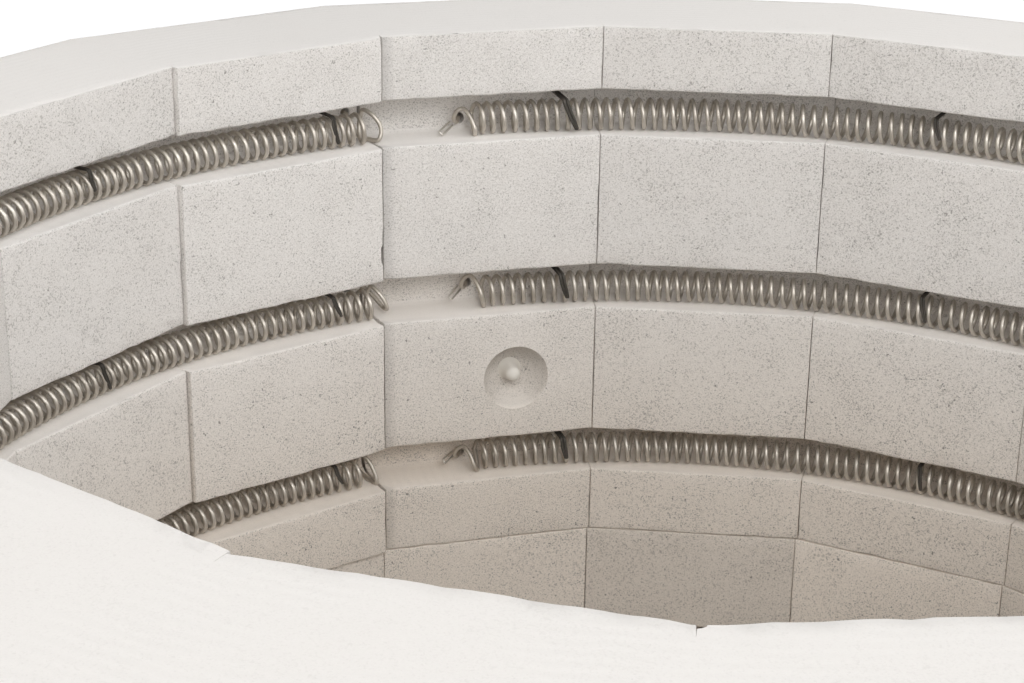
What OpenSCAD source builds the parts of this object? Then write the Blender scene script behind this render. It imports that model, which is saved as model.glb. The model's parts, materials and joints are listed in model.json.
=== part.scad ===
// Top loading electric kiln: a chamber of upright bricks with coiled heating elements in routed
// grooves, a steel jacket on a stand, a hinged brick lid that rests open, and a control box.
// The axis of the chamber is Z, the feet stand on z = 0 and the lid hinges at the back, on +Y.

/* [Chamber] */
// Number of brick panels round the chamber
panels = 17; // [15:2:19]
// Chamber width, twice the distance from the axis to a panel face
chamber_w = 502; // [440:1:560]
// Height of the upper course, whole bricks on end
upper_h = 230; // [215:1:260]
// Height of the lower course, half bricks on end
lower_h = 115; // [90:1:150]
// Thickness of the wall bricks
wall_t = 64; // [56:1:80]
// Thickness of the floor slab
floor_t = 64; // [50:1:80]
// Open joint between neighbouring bricks
brick_joint = 0.4; // [0.2:0.1:0.8]
// Length of a whole brick in the floor and the lid
brick_l = 230; // [200:1:250]
// Width of a whole brick in the floor and the lid
brick_w = 114; // [100:1:125]

/* [Elements] */
// Middle of the first groove below the rim
groove_1 = 36.5; // [30:0.5:45]
// Spacing of the grooves in the upper course
groove_pitch = 77.2; // [65:0.1:80]
// Height of a groove
groove_h = 19.5; // [18.5:0.5:24]
// Depth of a groove behind the panel face
groove_d = 24; // [22:0.5:30]
// Radius of the groove's back corners
groove_r = 5; // [2:0.5:5.5]
// Outer diameter of an element's coil
coil_od = 13.8; // [11:0.1:14.4]
// Diameter of the element wire
wire_d = 1.7; // [1.2:0.1:2.2]
// Depth of the coil's middle behind the panel face
coil_in = 12; // [10.5:0.5:14]
// Curls along each element
curls = 22; // [12:1:22]
// Diameter of the wire staples that hold the coils
staple_d = 1.4; // [1:0.1:1.8]
// Outer diameter of the ceramic bushings round the element tails
bushing_d = 8; // [6:0.5:9]
// Depth of the bushings' inner ends behind the grooves
bush_in = 16; // [8:1:24]
// Tail of each element right of the bare stretch, from its panel's middle
tail_right_t = 7.5; // [5:0.5:12]
// Tail of each element left of the bare stretch, from its panel's middle
tail_left_t = -44; // [-46:0.5:-38]

/* [Thermocouple] */
// Diameter of the thermocouple's ceramic sheath
sheath_d = 6.6; // [6:0.1:10]
// Depth of the sheath's tip behind the panel face
sheath_in = 5.5; // [2:0.5:10]
// Diameter of the flared recess at the panel face
flare_d = 29; // [24:0.5:34]
// Depth of the flared recess
flare_deep = 12; // [9:1:25]
// Middle of the recess below the rim
flare_drop = 153.5; // [148:0.5:158]
// Middle of the recess from its panel's middle
flare_t = -11.5; // [-16:0.5:-10]

/* [Jacket] */
// Thickness of the jacket sheet
jacket_t = 0.8; // [0.6:0.1:1.5]
// Width of the flanges along the jacket's seam
seam_w = 22; // [18:1:30]
// Thickness of the base pan
pan_t = 1.5; // [1:0.5:4]
// Bolts along the jacket's seam
seam_bolts = 5; // [3:1:7]

/* [Stand] */
// Height of the stand, from the floor to the base pan
stand_h = 230; // [180:5:300]
// Half the width of the stand's square top frame
stand_half = 215; // [190:1:222]
// Leg of the steel angle
angle_w = 30; // [26:1:40]
// Thickness of the steel angle
angle_t = 3; // [2.5:0.5:5]
// Width of a foot plate
foot_w = 56; // [50:1:70]
// Thickness of a foot plate
foot_t = 6; // [4:1:10]
// Diameter of the floor bolt holes
foot_hole_d = 11; // [8:0.5:13]
// Distance of a floor bolt hole from the leg's outer faces
foot_hole_in = 20; // [17:0.5:22]

/* [Air inlet] */
// Diameter of the air inlet in the floor
inlet_d = 30; // [20:1:40]
// Travel of the damper plate
damper_travel = 50; // [45:1:60]
// Thickness of the damper plate
damper_t = 2; // [1.5:0.5:3]
// Diameter of the damper's pull rod
rod_d = 6; // [5:0.5:8]

/* [Lid] */
// Thickness of the lid slab
lid_t = 64; // [62:1:80]
// Gap between the closed lid and the rim
lid_gap = 0.5; // [0.3:0.1:1]
// Angle at which the open lid rests on its stop
lid_open = 105; // [98:1:110]
// Hinge axis behind the jacket
hinge_out = 34; // [30:1:40]
// Hinge axis above the rim
hinge_up = 10; // [8:1:14]
// Diameter of the hinge pin
pin_d = 10; // [8:0.5:12]
// Width across the hinge ears
hinge_w = 90; // [80:1:100]
// Thickness of the hinge plates
hinge_t = 4; // [3:0.5:5]
// Reach of the handle from the lid band
handle_out = 62; // [52:1:72]
// Diameter of the handle grip
grip_d = 26; // [22:1:30]
// Diameter of the handle's cross rod
handle_rod_d = 10; // [8:0.5:12]

/* [Peephole] */
// Diameter of the peephole
peep_d = 20; // [16:1:24]
// Middle of the peephole below the rim
peep_drop = 153; // [146:1:160]
// Clearance round the peephole plug
peep_fit = 0.5; // [0.3:0.1:1]

/* [Control box] */
// Half the width of the control box
box_half = 120; // [114:1:130]
// Depth of the control box in front of the jacket
box_depth = 98; // [94:1:125]
// Sheet thickness of the control box
box_t = 1.2; // [1:0.1:2]
// Thickness of the front panel
panel_t = 1.5; // [1:0.1:3]
// Room between the bottom terminals and the bottom of the box
box_margin = 26; // [24:1:40]
// Diameter of a control key
key_d = 15; // [12:0.5:17]
// Travel of a control key
key_travel = 1.5; // [1:0.1:2.5]
// Spacing of the control keys
key_pitch = 24; // [22:0.5:26]
// Bore of the cable gland
gland_bore = 12; // [8:0.5:14]

/* [Fits] */
// Gap between sheet parts and the faces that they seat on
seat_gap = 0.2; // [0.1:0.05:0.4]
// Radial clearance of screws in their holes
screw_fit = 0.2; // [0.1:0.05:0.4]
// Radial clearance of the turning hinge pin and switch pivot
turn_fit = 0.08; // [0.05:0.01:0.1]
// Clearance round parts that slide
slide_fit = 0.3; // [0.2:0.05:0.5]

/* [Hidden] */
$fn = 48;
sink = 1;

// Panel angles, counted clockwise from the hinge at the back
step = 360 / panels;
half = step / 2;
tc_panel = 4;
left_panel = tc_panel - 1;
right_panel = tc_panel + 1;
peep_panel = (panels + 1) / 2;
seam_panel = panels - tc_panel;
function panel_angle(k) = 90 - k * step;

// Radii of the wall, measured on the panels' middles
face_n = chamber_w / 2;
brick_n = face_n + wall_t;
jacket_in = brick_n + seat_gap;
jacket_n = jacket_in + jacket_t;
groove_n = face_n + groove_d;
ring_r = face_n + coil_in;

// Levels above the floor
pan_z = stand_h;
floor_z = pan_z + pan_t;
course_z = floor_z + floor_t;
joint_z = course_z + lower_h;
rim_z = joint_z + upper_h;
jacket_drop = 1;
groove_zs = concat([for (i = [0:2]) rim_z - groove_1 - i * groove_pitch], [joint_z - lower_h / 2]);
element_names = ["element_top", "element_second", "element_third", "element_bottom"];
flare_z = rim_z - flare_drop;
peep_z = rim_z - peep_drop;

// Fasteners
screw_r = 2;
screw_head_r = 4.2;
screw_head_h = 2.4;
screw_l = 12;

// Element coil, tails, staples and terminals
coil_a = (coil_od - wire_d) / 2;
curl_rings = 8;
wire_sides = 6;
coil_rest = 0.2;
tail_lead = 6;
bush_fit = 0.4;
bush_bore = wire_d + 1.6;
bush_flange_r = bushing_d / 2 + 2;
bush_flange_h = 4;
bush_out = 10;
tail_out = jacket_n + 26;
terminal_r = 4.5;
terminal_l = 14;
terminal_fit = 0.15;
terminal_screw_r = 2;
terminal_screw_h = 7;
staple_gap = 0.6;
staple_fit = 0.2;
staple_deep = 15;
staple_leg = 9;
function coil_z(zg) = zg - groove_h / 2 + coil_od / 2 + coil_rest;
tc_staple_t = -33;
left_staple_t = -25;
plain_staple_t = -5;
function staple_t(k) = k == tc_panel ? tc_staple_t : k == left_panel ? left_staple_t : plain_staple_t;
function has_staple(k) = k % 2 == 0 || k == left_panel;

// Thermocouple head
sheath_fit = 0.6;
head_flange_r = 17;
head_flange_h = 4;
head_r = 12;
head_l = 26;
head_bore_l = 20;
head_screw_t = 6;

// Seam of the jacket
seam_gap = 2;
seam_bolt_share = 0.55;
seam_bolt_n = jacket_n + seam_w * seam_bolt_share;
seam_nut_h = 4;
seam_end = 40;

// Stand
leg_out = stand_half - angle_t - seat_gap;
foot_hole_xy = leg_out - foot_hole_in;
bar_x = 70;
bar_w = 30;
bar_t = 5;
rod_z = stand_h - 12;
rod_hole_r = rod_d / 2 + 1.5;

// Damper
damper_lap = 21;
damper_half = inlet_d / 2 + damper_lap;
inlet_place = [-1, -1];
damper_z = stand_h - slide_fit - damper_t;
rail_t = 1.5;
rail_lip = 6;
rail_back = damper_half + 5;
rail_front = damper_half + damper_travel + 5;
tab_drop = 18;
knob_r = 11;
knob_l = 26;
knob_taper = 0.7;
knob_gap = 8;

// Lid and hinge, the hinge profiles measured from the pin
lid_z = rim_z + lid_gap;
pin_n = jacket_n + hinge_out;
pin_z = rim_z + hinge_up;
plate_face = hinge_out - seat_gap - hinge_t;
ear_in = hinge_w / 2 - hinge_t;
arm_side = 0.5;
arm_eye = pin_d / 2 + 4;
arm_low = hinge_up - lid_gap - 4;
arm_high = lid_t - hinge_up - 4;
eye_c = 0.8;
eye_s = 0.6;
edge_a = [arm_eye * eye_c, arm_eye * eye_s];
edge_b = [-plate_face, arm_high];
edge_d = (edge_b - edge_a) / norm(edge_b - edge_a);
edge_n = [edge_d.y, -edge_d.x];
stop_r = 5;
stop_gap = 0.3;
stop_share = 0.7;
stop_shut = edge_a + stop_share * (edge_b - edge_a) + (stop_r + stop_gap) * edge_n;
stop_at = [stop_shut.x * cos(lid_open) + stop_shut.y * sin(lid_open),
           -stop_shut.x * sin(lid_open) + stop_shut.y * cos(lid_open)];
ear_r = pin_d / 2 + 8;
ear_foot = 25;
ear_tip = stop_r + 4;
bracket_top = 8;
bracket_h = 110;
bracket_half = hinge_w / 2 + 7;
bracket_screw_t = 25;
bracket_screw_high = 22;
bracket_screw_low = 15;
bracket_screw_zs = [rim_z - bracket_top - bracket_screw_high,
                    rim_z - bracket_top - bracket_h + bracket_screw_low];
lid_screw_t = 22;
lid_screw_low = 14;
lid_screw_high = 16;
lid_screw_zs = [lid_z + lid_screw_low, lid_z + lid_t - lid_screw_high];
pin_head_r = pin_d / 2 + 3;
pin_head_h = 4;
handle_z = lid_z + lid_t / 2;
foot_plate_w = 34;
foot_plate_h = 46;
foot_plate_t = 3;
foot_screw_z = 16;
handle_n = jacket_n + handle_out;
handle_y = -handle_n * cos(half);
handle_x = handle_n * sin(half);
grip_end = 10;
post_slim = 1;

// Peephole plug
plug_r = peep_d / 2 - peep_fit;
plug_flange_r = peep_d / 2 + 7;
plug_flange_h = 6;
plug_knob_r = 9;
plug_knob_l = 20;
plug_taper = 0.8;
plug_short = 2;

// Control box, in the frame of the thermocouple's panel
box_z0 = groove_zs[3] - box_margin;
box_clear = 0.8;
box_z1 = groove_zs[0] + bush_flange_r + box_clear + box_t;
box_n = jacket_n + box_depth;
box_lip = 14;
flange_w = 20;
flange_end = 8;
wall_meets_n = (jacket_n - box_half * sin(step)) / cos(step);
flange_t0 = box_half * cos(step) - wall_meets_n * sin(step);
flange_screw_in = 12;
flange_screw_low = 40;
flange_screw_high = 30;
flange_screw_t = flange_t0 + flange_screw_in;
flange_screw_zs = [box_z0 + flange_screw_low, (box_z0 + box_z1) / 2, box_z1 - flange_screw_high];
vent_n = 9;
vent_w = 4;
vent_l = 46;
vent_pitch = 18;
vent_front = 22;
front_screws = [for (s = [-1, 1], z = [box_z0 + box_lip / 2, (box_z0 + box_z1) / 2, box_z1 - box_lip / 2])
    [s * (box_half - box_lip / 2), z]];

// Controller, display and keys
control_drop = 92;
control_z = box_z1 - control_drop;
control_half = 56;
control_deep = 34;
control_up = 54;
control_down = 46;
post_r = 4;
display_up = 26;
display_z = control_z + display_up;
display_w = 76;
display_h = 30;
window_fit = 0.15;
key_under = 22;
key_z = control_z - key_under;
key_flange = 1.8;
key_flange_t = 1.5;
key_proud = 2.5;
key_clear = 2.8;
control_gap = seat_gap + key_flange_t + key_travel + key_clear;
key_names = ["key_back", "key_down", "key_up", "key_start"];
function key_t(i) = (1.5 - i) * key_pitch;

// Power switch and lamp
switch_t = 40;
switch_up = 74;
switch_z = box_z0 + switch_up;
switch_w = 13;
switch_h = 26;
switch_wall = 2;
switch_bezel = 4;
switch_bezel_t = 2;
switch_deep = 24;
switch_cavity = 16;
pivot_r = 1.6;
pivot_back = 2.5;
pivot_in = 1.2;
rocker_tilt = 8;
rocker_half = 11.2;
rocker_tip = 6.5;
rocker_mid = 5;
rocker_back = 3;
rocker_side = 0.4;
lamp_t = -40;
lamp_r = 5;
lamp_rim_r = 7;
lamp_rim_h = 1.5;
lamp_deep = 22;

// Power parts inside the box
contactor_t = 46;
contactor_n = 58;
contactor_h = 74;
contactor_gap = 22;
contactor_step = 12;
contactor_n0 = jacket_n + 32;
block_t = 78;
block_n = 28;
block_h = 30;
block_way = 17;
block_screw_r = 3.5;
block_well = 12;
block_well_n = 8;
block_n0 = jacket_n + 50;
block_mid_t = -18;
gland_t = 62;
gland_n = jacket_n + 64;
gland_thread_r = gland_bore / 2 + 4;
gland_cap_r = gland_thread_r + 2;
gland_nut_r = gland_thread_r + 5;
gland_nut_h = 8;
gland_lock_h = 5;
gland_below = 26;

brick_names = [for (k = [0:panels - 1]) str("wall_brick_", k < 9 ? "0" : "", k + 1)];

brick_c = [0.89, 0.86, 0.83];
steel_c = [0.72, 0.72, 0.72];
wire_c = [0.45, 0.42, 0.40];
ceramic_c = [0.93, 0.92, 0.88];
paint_c = [0.30, 0.32, 0.34];
black_c = [0.12, 0.12, 0.13];
brass_c = [0.78, 0.64, 0.34];

// Places its children on a panel: X outward, Y along the panel, Z up
module on_panel(k) {
    rotate([0, 0, panel_angle(k)]) children();
}

// A drilled or turned shape along the panel's outward direction
module outward(n, t, z) {
    translate([n, t, z]) rotate([0, 90, 0]) children();
}

// Prism with the kiln's number of sides, flats at distance n from the axis
module prism(n, h) {
    linear_extrude(h)
        polygon([for (k = [0:panels - 1])
            n / cos(half) * [cos(panel_angle(k) + half), sin(panel_angle(k) + half)]]);
}

module screw(shank = screw_l) {
    cylinder(h = screw_head_h, r = screw_head_r);
    translate([0, 0, -shank]) cylinder(h = shank + sink, r = screw_r);
}

module screw_hole() {
    translate([0, 0, -screw_l - sink])
        cylinder(h = screw_l + screw_head_h + 2 * sink, r = screw_r + screw_fit);
}

// Routed element groove, open to the chamber, with rounded back corners
module groove(z) {
    wide = face_n;
    mouth = face_n - sink;
    translate([mouth, -wide, z - groove_h / 2])
        cube([groove_n - groove_r - mouth, 2 * wide, groove_h]);
    translate([mouth, -wide, z - groove_h / 2 + groove_r])
        cube([groove_n - mouth, 2 * wide, groove_h - 2 * groove_r]);
    for (s = [-1, 1])
        translate([groove_n - groove_r, 0, z + s * (groove_h / 2 - groove_r)])
            rotate([90, 0, 0]) cylinder(h = 2 * wide, r = groove_r, center = true);
}

// Places its children at the tails of every element that leave through panel k
module at_tails(k) {
    if (k == tc_panel || k == left_panel)
        for (z = groove_zs)
            translate([0, k == tc_panel ? tail_right_t : tail_left_t, z]) children();
}

// Places its children at the screws that enter the wall at panel k
module at_wall_screws(k) {
    if (k == left_panel || k == right_panel)
        for (z = flange_screw_zs)
            outward(jacket_n + seat_gap + box_t, (k == left_panel ? 1 : -1) * flange_screw_t, z) children();
    if (k == 0)
        for (s = [-1, 1], z = bracket_screw_zs)
            outward(jacket_n + seat_gap + hinge_t, s * bracket_screw_t, z) children();
}

// Everything that is drilled through the wall at panel k
module wall_holes(k) {
    long = wall_t + 4 * jacket_t;
    at_tails(k) outward(groove_n - sink, 0, 0) cylinder(h = long, r = bushing_d / 2 + bush_fit);
    at_wall_screws(k) screw_hole();
    if (k == tc_panel) {
        outward(face_n - sink, flare_t, flare_z)
            cylinder(h = long, r = sheath_d / 2 + sheath_fit);
    }
    if (k == peep_panel)
        outward(face_n - sink, 0, peep_z) cylinder(h = long, r = peep_d / 2);
}

// The flared recess round the thermocouple's tip
module flare() {
    slope = (flare_d / 2 - sheath_d / 2 - sheath_fit) / flare_deep;
    outward(face_n - sink, flare_t, flare_z)
        cylinder(h = flare_deep + sink, r1 = flare_d / 2 + slope * sink, r2 = sheath_d / 2 + sheath_fit);
}

// Holes of the staples in the back of each groove at panel k
module staple_holes(k) {
    if (has_staple(k))
        for (zg = groove_zs)
            outward(groove_n - groove_r - sink, staple_t(k), staple_z(zg))
                cylinder(h = staple_deep + groove_r + 2 * sink, r = staple_d / 2 + staple_fit);
}

function staple_z(zg) = coil_z(zg) + coil_od / 2 + staple_gap + staple_d / 2;

// A wedge of the wall between two levels, square to its panel
module wedge(z0, h) {
    inner = face_n * tan(half) - brick_joint / 2 / cos(half);
    outer = brick_n * tan(half) - brick_joint / 2 / cos(half);
    translate([0, 0, z0]) linear_extrude(h)
        polygon([[face_n, -inner], [brick_n, -outer], [brick_n, outer], [face_n, inner]]);
}

module wall_brick(k) {
    color(brick_c) on_panel(k) difference() {
        wedge(joint_z, upper_h);
        for (i = [0:2]) groove(groove_zs[i]);
        wall_holes(k);
        staple_holes(k);
        if (k == tc_panel) flare();
    }
}

module lower_bricks() {
    color(brick_c) for (k = [0:panels - 1]) on_panel(k) difference() {
        wedge(course_z, lower_h - brick_joint);
        groove(groove_zs[3]);
        wall_holes(k);
        staple_holes(k);
    }
}

// One brick of a slab: row i, place j, cut to the kiln's outline
module slab_brick(i, j, z, h) {
    shift = i % 2 == 0 ? 0 : brick_l / 2;
    intersection() {
        translate([0, 0, z]) prism(brick_n, h);
        translate([j * brick_l + shift + brick_joint / 2, i * brick_w + brick_joint / 2, z - sink])
            cube([brick_l - brick_joint, brick_w - brick_joint, h + 2 * sink]);
    }
}

// Slab of bricks laid in rows with broken joints; left_out names one brick that isn't laid
module brick_slab(z, h, left_out = []) {
    rows = ceil((brick_n / cos(half)) / brick_w);
    count = ceil(brick_n / brick_l) + 1;
    for (i = [-rows:rows - 1], j = [-count:count - 1])
        if ([i, j] != left_out) slab_brick(i, j, z, h);
}

module inlet_hole(z, h) {
    translate([0, 0, z - sink]) cylinder(h = h + 2 * sink, r = inlet_d / 2);
}

module floor_bricks() {
    color(brick_c) difference() {
        brick_slab(floor_z, floor_t - brick_joint, inlet_place);
        inlet_hole(floor_z, floor_t);
    }
}

// The floor brick that holds half of the air inlet
module inlet_brick() {
    color(brick_c) difference() {
        slab_brick(inlet_place[0], inlet_place[1], floor_z, floor_t - brick_joint);
        inlet_hole(floor_z, floor_t);
    }
}

module base_pan() {
    color(steel_c) difference() {
        translate([0, 0, pan_z]) prism(jacket_n, pan_t);
        inlet_hole(pan_z, pan_t);
    }
}

// Places its children along the seam of the jacket, Z along the bolts
module at_seam_bolts() {
    low = floor_z + seam_end;
    high = rim_z - seam_end;
    on_panel(seam_panel)
        for (i = [0:seam_bolts - 1])
            translate([seam_bolt_n, 0, low + i * (high - low) / (seam_bolts - 1)])
                rotate([90, 0, 0]) children();
}

module jacket() {
    tall = rim_z - jacket_drop - floor_z;
    color(steel_c) difference() {
        union() {
            difference() {
                translate([0, 0, floor_z]) prism(jacket_n, tall);
                translate([0, 0, floor_z - sink]) prism(jacket_in, tall + 2 * sink);
                on_panel(seam_panel)
                    translate([jacket_in - sink, -seam_gap / 2, floor_z - sink])
                        cube([jacket_t + 2 * sink, seam_gap, tall + 2 * sink]);
            }
            on_panel(seam_panel)
                for (s = [-1, 1])
                    translate([jacket_in, s * (seam_gap + jacket_t) / 2 - jacket_t / 2, floor_z])
                        cube([jacket_t + seam_w, jacket_t, tall]);
        }
        for (k = [0:panels - 1]) on_panel(k) wall_holes(k);
        at_seam_bolts() cylinder(h = 4 * seam_gap, r = screw_r + screw_fit, center = true);
    }
}

module jacket_bolts() {
    grip = seam_gap / 2 + jacket_t;
    color(steel_c) at_seam_bolts() {
        translate([0, 0, grip]) cylinder(h = screw_head_h, r = screw_head_r);
        translate([0, 0, -grip - seam_nut_h])
            cylinder(h = 2 * grip + seam_nut_h + sink, r = screw_r);
        translate([0, 0, -grip - seam_nut_h + sink / 2])
            cylinder(h = seam_nut_h - sink / 2, r = screw_head_r, $fn = 6);
    }
}

// Square frame of steel angle with two bars across it, drilled for the damper's rod
module stand_frame() {
    inside = stand_half - angle_w;
    color(paint_c) difference() {
        translate([-stand_half, -stand_half, stand_h - angle_w])
            cube([2 * stand_half, 2 * stand_half, angle_w]);
        translate([-inside, -inside, stand_h - angle_w - sink])
            cube([2 * inside, 2 * inside, angle_w + 2 * sink]);
        translate([-stand_half + angle_t, -stand_half + angle_t, stand_h - angle_w - sink])
            cube([2 * (stand_half - angle_t), 2 * (stand_half - angle_t), angle_w - angle_t + sink]);
        translate([0, -stand_half + angle_t / 2, rod_z]) rotate([90, 0, 0])
            cylinder(h = 2 * angle_t, r = rod_hole_r, center = true);
    }
    color(paint_c) for (s = [-1, 1])
        translate([s * bar_x - bar_w / 2, -inside, stand_h - bar_t]) cube([bar_w, 2 * inside, bar_t]);
}

// Legs of steel angle, each welded to a drilled foot plate
module stand_legs() {
    edge = (foot_w - angle_w) / 2;
    color(paint_c) for (a = [0:90:270]) rotate([0, 0, a]) difference() {
        union() {
            translate([leg_out - angle_w, leg_out - angle_w, foot_t / 2]) difference() {
                cube([angle_w, angle_w, stand_h - angle_t - foot_t / 2]);
                translate([-sink, -sink, -sink])
                    cube([angle_w - angle_t + sink, angle_w - angle_t + sink, stand_h]);
            }
            translate([leg_out - angle_w - edge, leg_out - angle_w - edge, 0]) cube([foot_w, foot_w, foot_t]);
        }
        translate([foot_hole_xy, foot_hole_xy, -sink]) cylinder(h = foot_t + 2 * sink, r = foot_hole_d / 2);
    }
}

// Slide plate under the air inlet, with a turned down tab, a pull rod and a knob
module damper_plate() {
    tab_y = -damper_half;
    knob_y = -stand_half - knob_gap;
    color(steel_c) {
        translate([-damper_half, -damper_half, damper_z]) cube([2 * damper_half, 2 * damper_half, damper_t]);
        translate([-damper_half / 2, tab_y, damper_z + damper_t - tab_drop])
            cube([damper_half, damper_t, tab_drop]);
        translate([0, tab_y + damper_t / 2, rod_z]) rotate([90, 0, 0])
            cylinder(h = tab_y - knob_y + sink + damper_t / 2, r = rod_d / 2);
        translate([0, knob_y, rod_z]) rotate([90, 0, 0])
            cylinder(h = knob_l, r1 = knob_r * knob_taper, r2 = knob_r);
    }
}

module damper_rails() {
    side = damper_half + slide_fit;
    deep = slide_fit + damper_t + slide_fit;
    color(steel_c) for (s = [0, 1]) mirror([s, 0, 0]) {
        translate([side, -rail_front, stand_h - deep - rail_t])
            cube([rail_t, rail_front + rail_back, deep + rail_t]);
        translate([side - rail_lip, -rail_front, stand_h - deep - rail_t])
            cube([rail_lip + sink, rail_front + rail_back, rail_t]);
    }
}

// Point on panel k, n outward and t along it
function panel_point(k, n, t, z) =
    let (c = cos(panel_angle(k)), s = sin(panel_angle(k))) [n * c - t * s, n * s + t * c, z];

function bend(a, b, c, s) = (1 - s) * (1 - s) * a + 2 * s * (1 - s) * b + s * s * c;

// Middle line of one element: a tail, the curls round the chamber, a tail
function element_path(zg) =
    let (zc = coil_z(zg),
         out_r = ring_r + coil_a,
         start = panel_angle(tc_panel) + asin(tail_right_t / out_r),
         stop = panel_angle(left_panel) + asin(tail_left_t / out_r) - 360,
         lead = tail_lead / out_r * 180 / PI,
         sweep = start - stop - 2 * lead,
         rings = curls * curl_rings,
         curl = [for (i = [0:rings])
             let (a = start - lead - sweep * i / rings,
                  p = 360 * i / curl_rings,
                  r = ring_r + coil_a * cos(p))
             [r * cos(a), r * sin(a), zc + coil_a * sin(p)]],
         in_a = panel_point(tc_panel, out_r + tail_lead, tail_right_t, zg),
         in_b = panel_point(tc_panel, out_r, tail_right_t, zc),
         out_a = panel_point(left_panel, out_r + tail_lead, tail_left_t, zg),
         out_b = panel_point(left_panel, out_r, tail_left_t, zc))
    concat(
        [for (d = [0, wire_d]) panel_point(tc_panel, tail_out - d, tail_right_t, zg)],
        [for (s = [0:2]) bend(in_a, in_b, curl[0], s / 3)],
        curl,
        [for (s = [1:3]) bend(curl[rings], out_b, out_a, s / 3)],
        [for (d = [wire_d, 0]) panel_point(left_panel, tail_out - d, tail_left_t, zg)]);

// Least gap of a tube to itself, measured between points more than half a curl apart
function self_gap(path) =
    let (last = len(path) - 1)
    min([for (i = [0:last], j = [i + curl_rings / 2 + 1:1:last]) norm(path[i] - path[j])]) - wire_d;

// A round wire along a path, as one closed skin of triangles
module tube(path) {
    n = len(path);
    m = wire_sides;
    points = [for (i = [0:n - 1])
        let (d = path[min(i + 1, n - 1)] - path[max(i - 1, 0)],
             u = cross(d, [0, 0, 1]) / norm(cross(d, [0, 0, 1])),
             v = cross(u, d) / norm(d))
        for (j = [0:m - 1]) path[i] + wire_d / 2 * (cos(360 * j / m) * u + sin(360 * j / m) * v)];
    skin = [for (i = [0:n - 2], j = [0:m - 1])
        let (a = i * m + j, b = i * m + (j + 1) % m)
        each [[a, b, b + m], [a, b + m, a + m]]];
    first = [for (j = [1:m - 2]) [0, j + 1, j]];
    last = [for (j = [1:m - 2]) (n - 1) * m * [1, 1, 1] + [0, j, j + 1]];
    polyhedron(points, concat(skin, first, last));
}

module element(i) {
    path = element_path(groove_zs[i]);
    echo(element = element_names[i], least_gap = self_gap(path));
    color(wire_c) tube(path);
}

// Wire hooks over the coils: a leg into the groove's back and a leg down in front
module element_staples() {
    color(wire_c) for (k = [0:panels - 1]) if (has_staple(k)) on_panel(k)
        for (zg = groove_zs) {
            t = staple_t(k);
            front = sqrt(ring_r * ring_r - t * t) - coil_od / 2 - staple_gap - staple_d / 2;
            outward(front, t, staple_z(zg)) cylinder(h = groove_n + staple_deep - front, r = staple_d / 2);
            translate([front, t, staple_z(zg)]) sphere(r = staple_d / 2);
            translate([front, t, staple_z(zg) - staple_leg]) cylinder(h = staple_leg, r = staple_d / 2);
        }
}

module element_bushings() {
    color(ceramic_c) for (k = [left_panel, tc_panel]) on_panel(k) at_tails(k) difference() {
        union() {
            outward(groove_n + bush_in, 0, 0)
                cylinder(h = jacket_n + bush_out - groove_n - bush_in, r = bushing_d / 2);
            outward(jacket_n + seat_gap, 0, 0) cylinder(h = bush_flange_h, r = bush_flange_r);
        }
        outward(groove_n, 0, 0) cylinder(h = wall_t + bush_out + 2 * jacket_t, r = bush_bore / 2);
    }
}

// Brass clamps on the ends of the tails
module element_terminals() {
    wire_n = tail_out - terminal_l + sink;
    color(brass_c) for (k = [left_panel, tc_panel]) on_panel(k) at_tails(k) difference() {
        union() {
            outward(wire_n, 0, 0) cylinder(h = terminal_l + sink, r = terminal_r);
            translate([wire_n + terminal_l / 2, 0, -terminal_r / 2 - terminal_screw_h])
                cylinder(h = terminal_screw_h, r = terminal_screw_r);
        }
        outward(wire_n - sink, 0, 0) cylinder(h = terminal_l, r = wire_d / 2 + terminal_fit);
    }
}

module thermocouple() {
    tip = face_n + sheath_in + sheath_d / 2;
    color(ceramic_c) on_panel(tc_panel) {
        outward(tip, flare_t, flare_z)
            cylinder(h = jacket_n + head_bore_l - seat_gap - tip, r = sheath_d / 2);
        translate([tip, flare_t, flare_z]) sphere(r = sheath_d / 2);
    }
}

// Terminal head that holds the sheath, with its two wire screws
module thermocouple_head() {
    color(paint_c) on_panel(tc_panel) difference() {
        union() {
            outward(jacket_n, flare_t, flare_z) cylinder(h = head_flange_h, r = head_flange_r);
            outward(jacket_n, flare_t, flare_z) cylinder(h = head_l, r = head_r);
            for (s = [-1, 1])
                outward(jacket_n + head_l - sink, flare_t + s * head_screw_t, flare_z)
                    cylinder(h = screw_head_h + sink, r = screw_head_r);
        }
        outward(jacket_n - sink, flare_t, flare_z)
            cylinder(h = head_bore_l + sink, r = sheath_d / 2 + turn_fit);
    }
}

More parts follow.
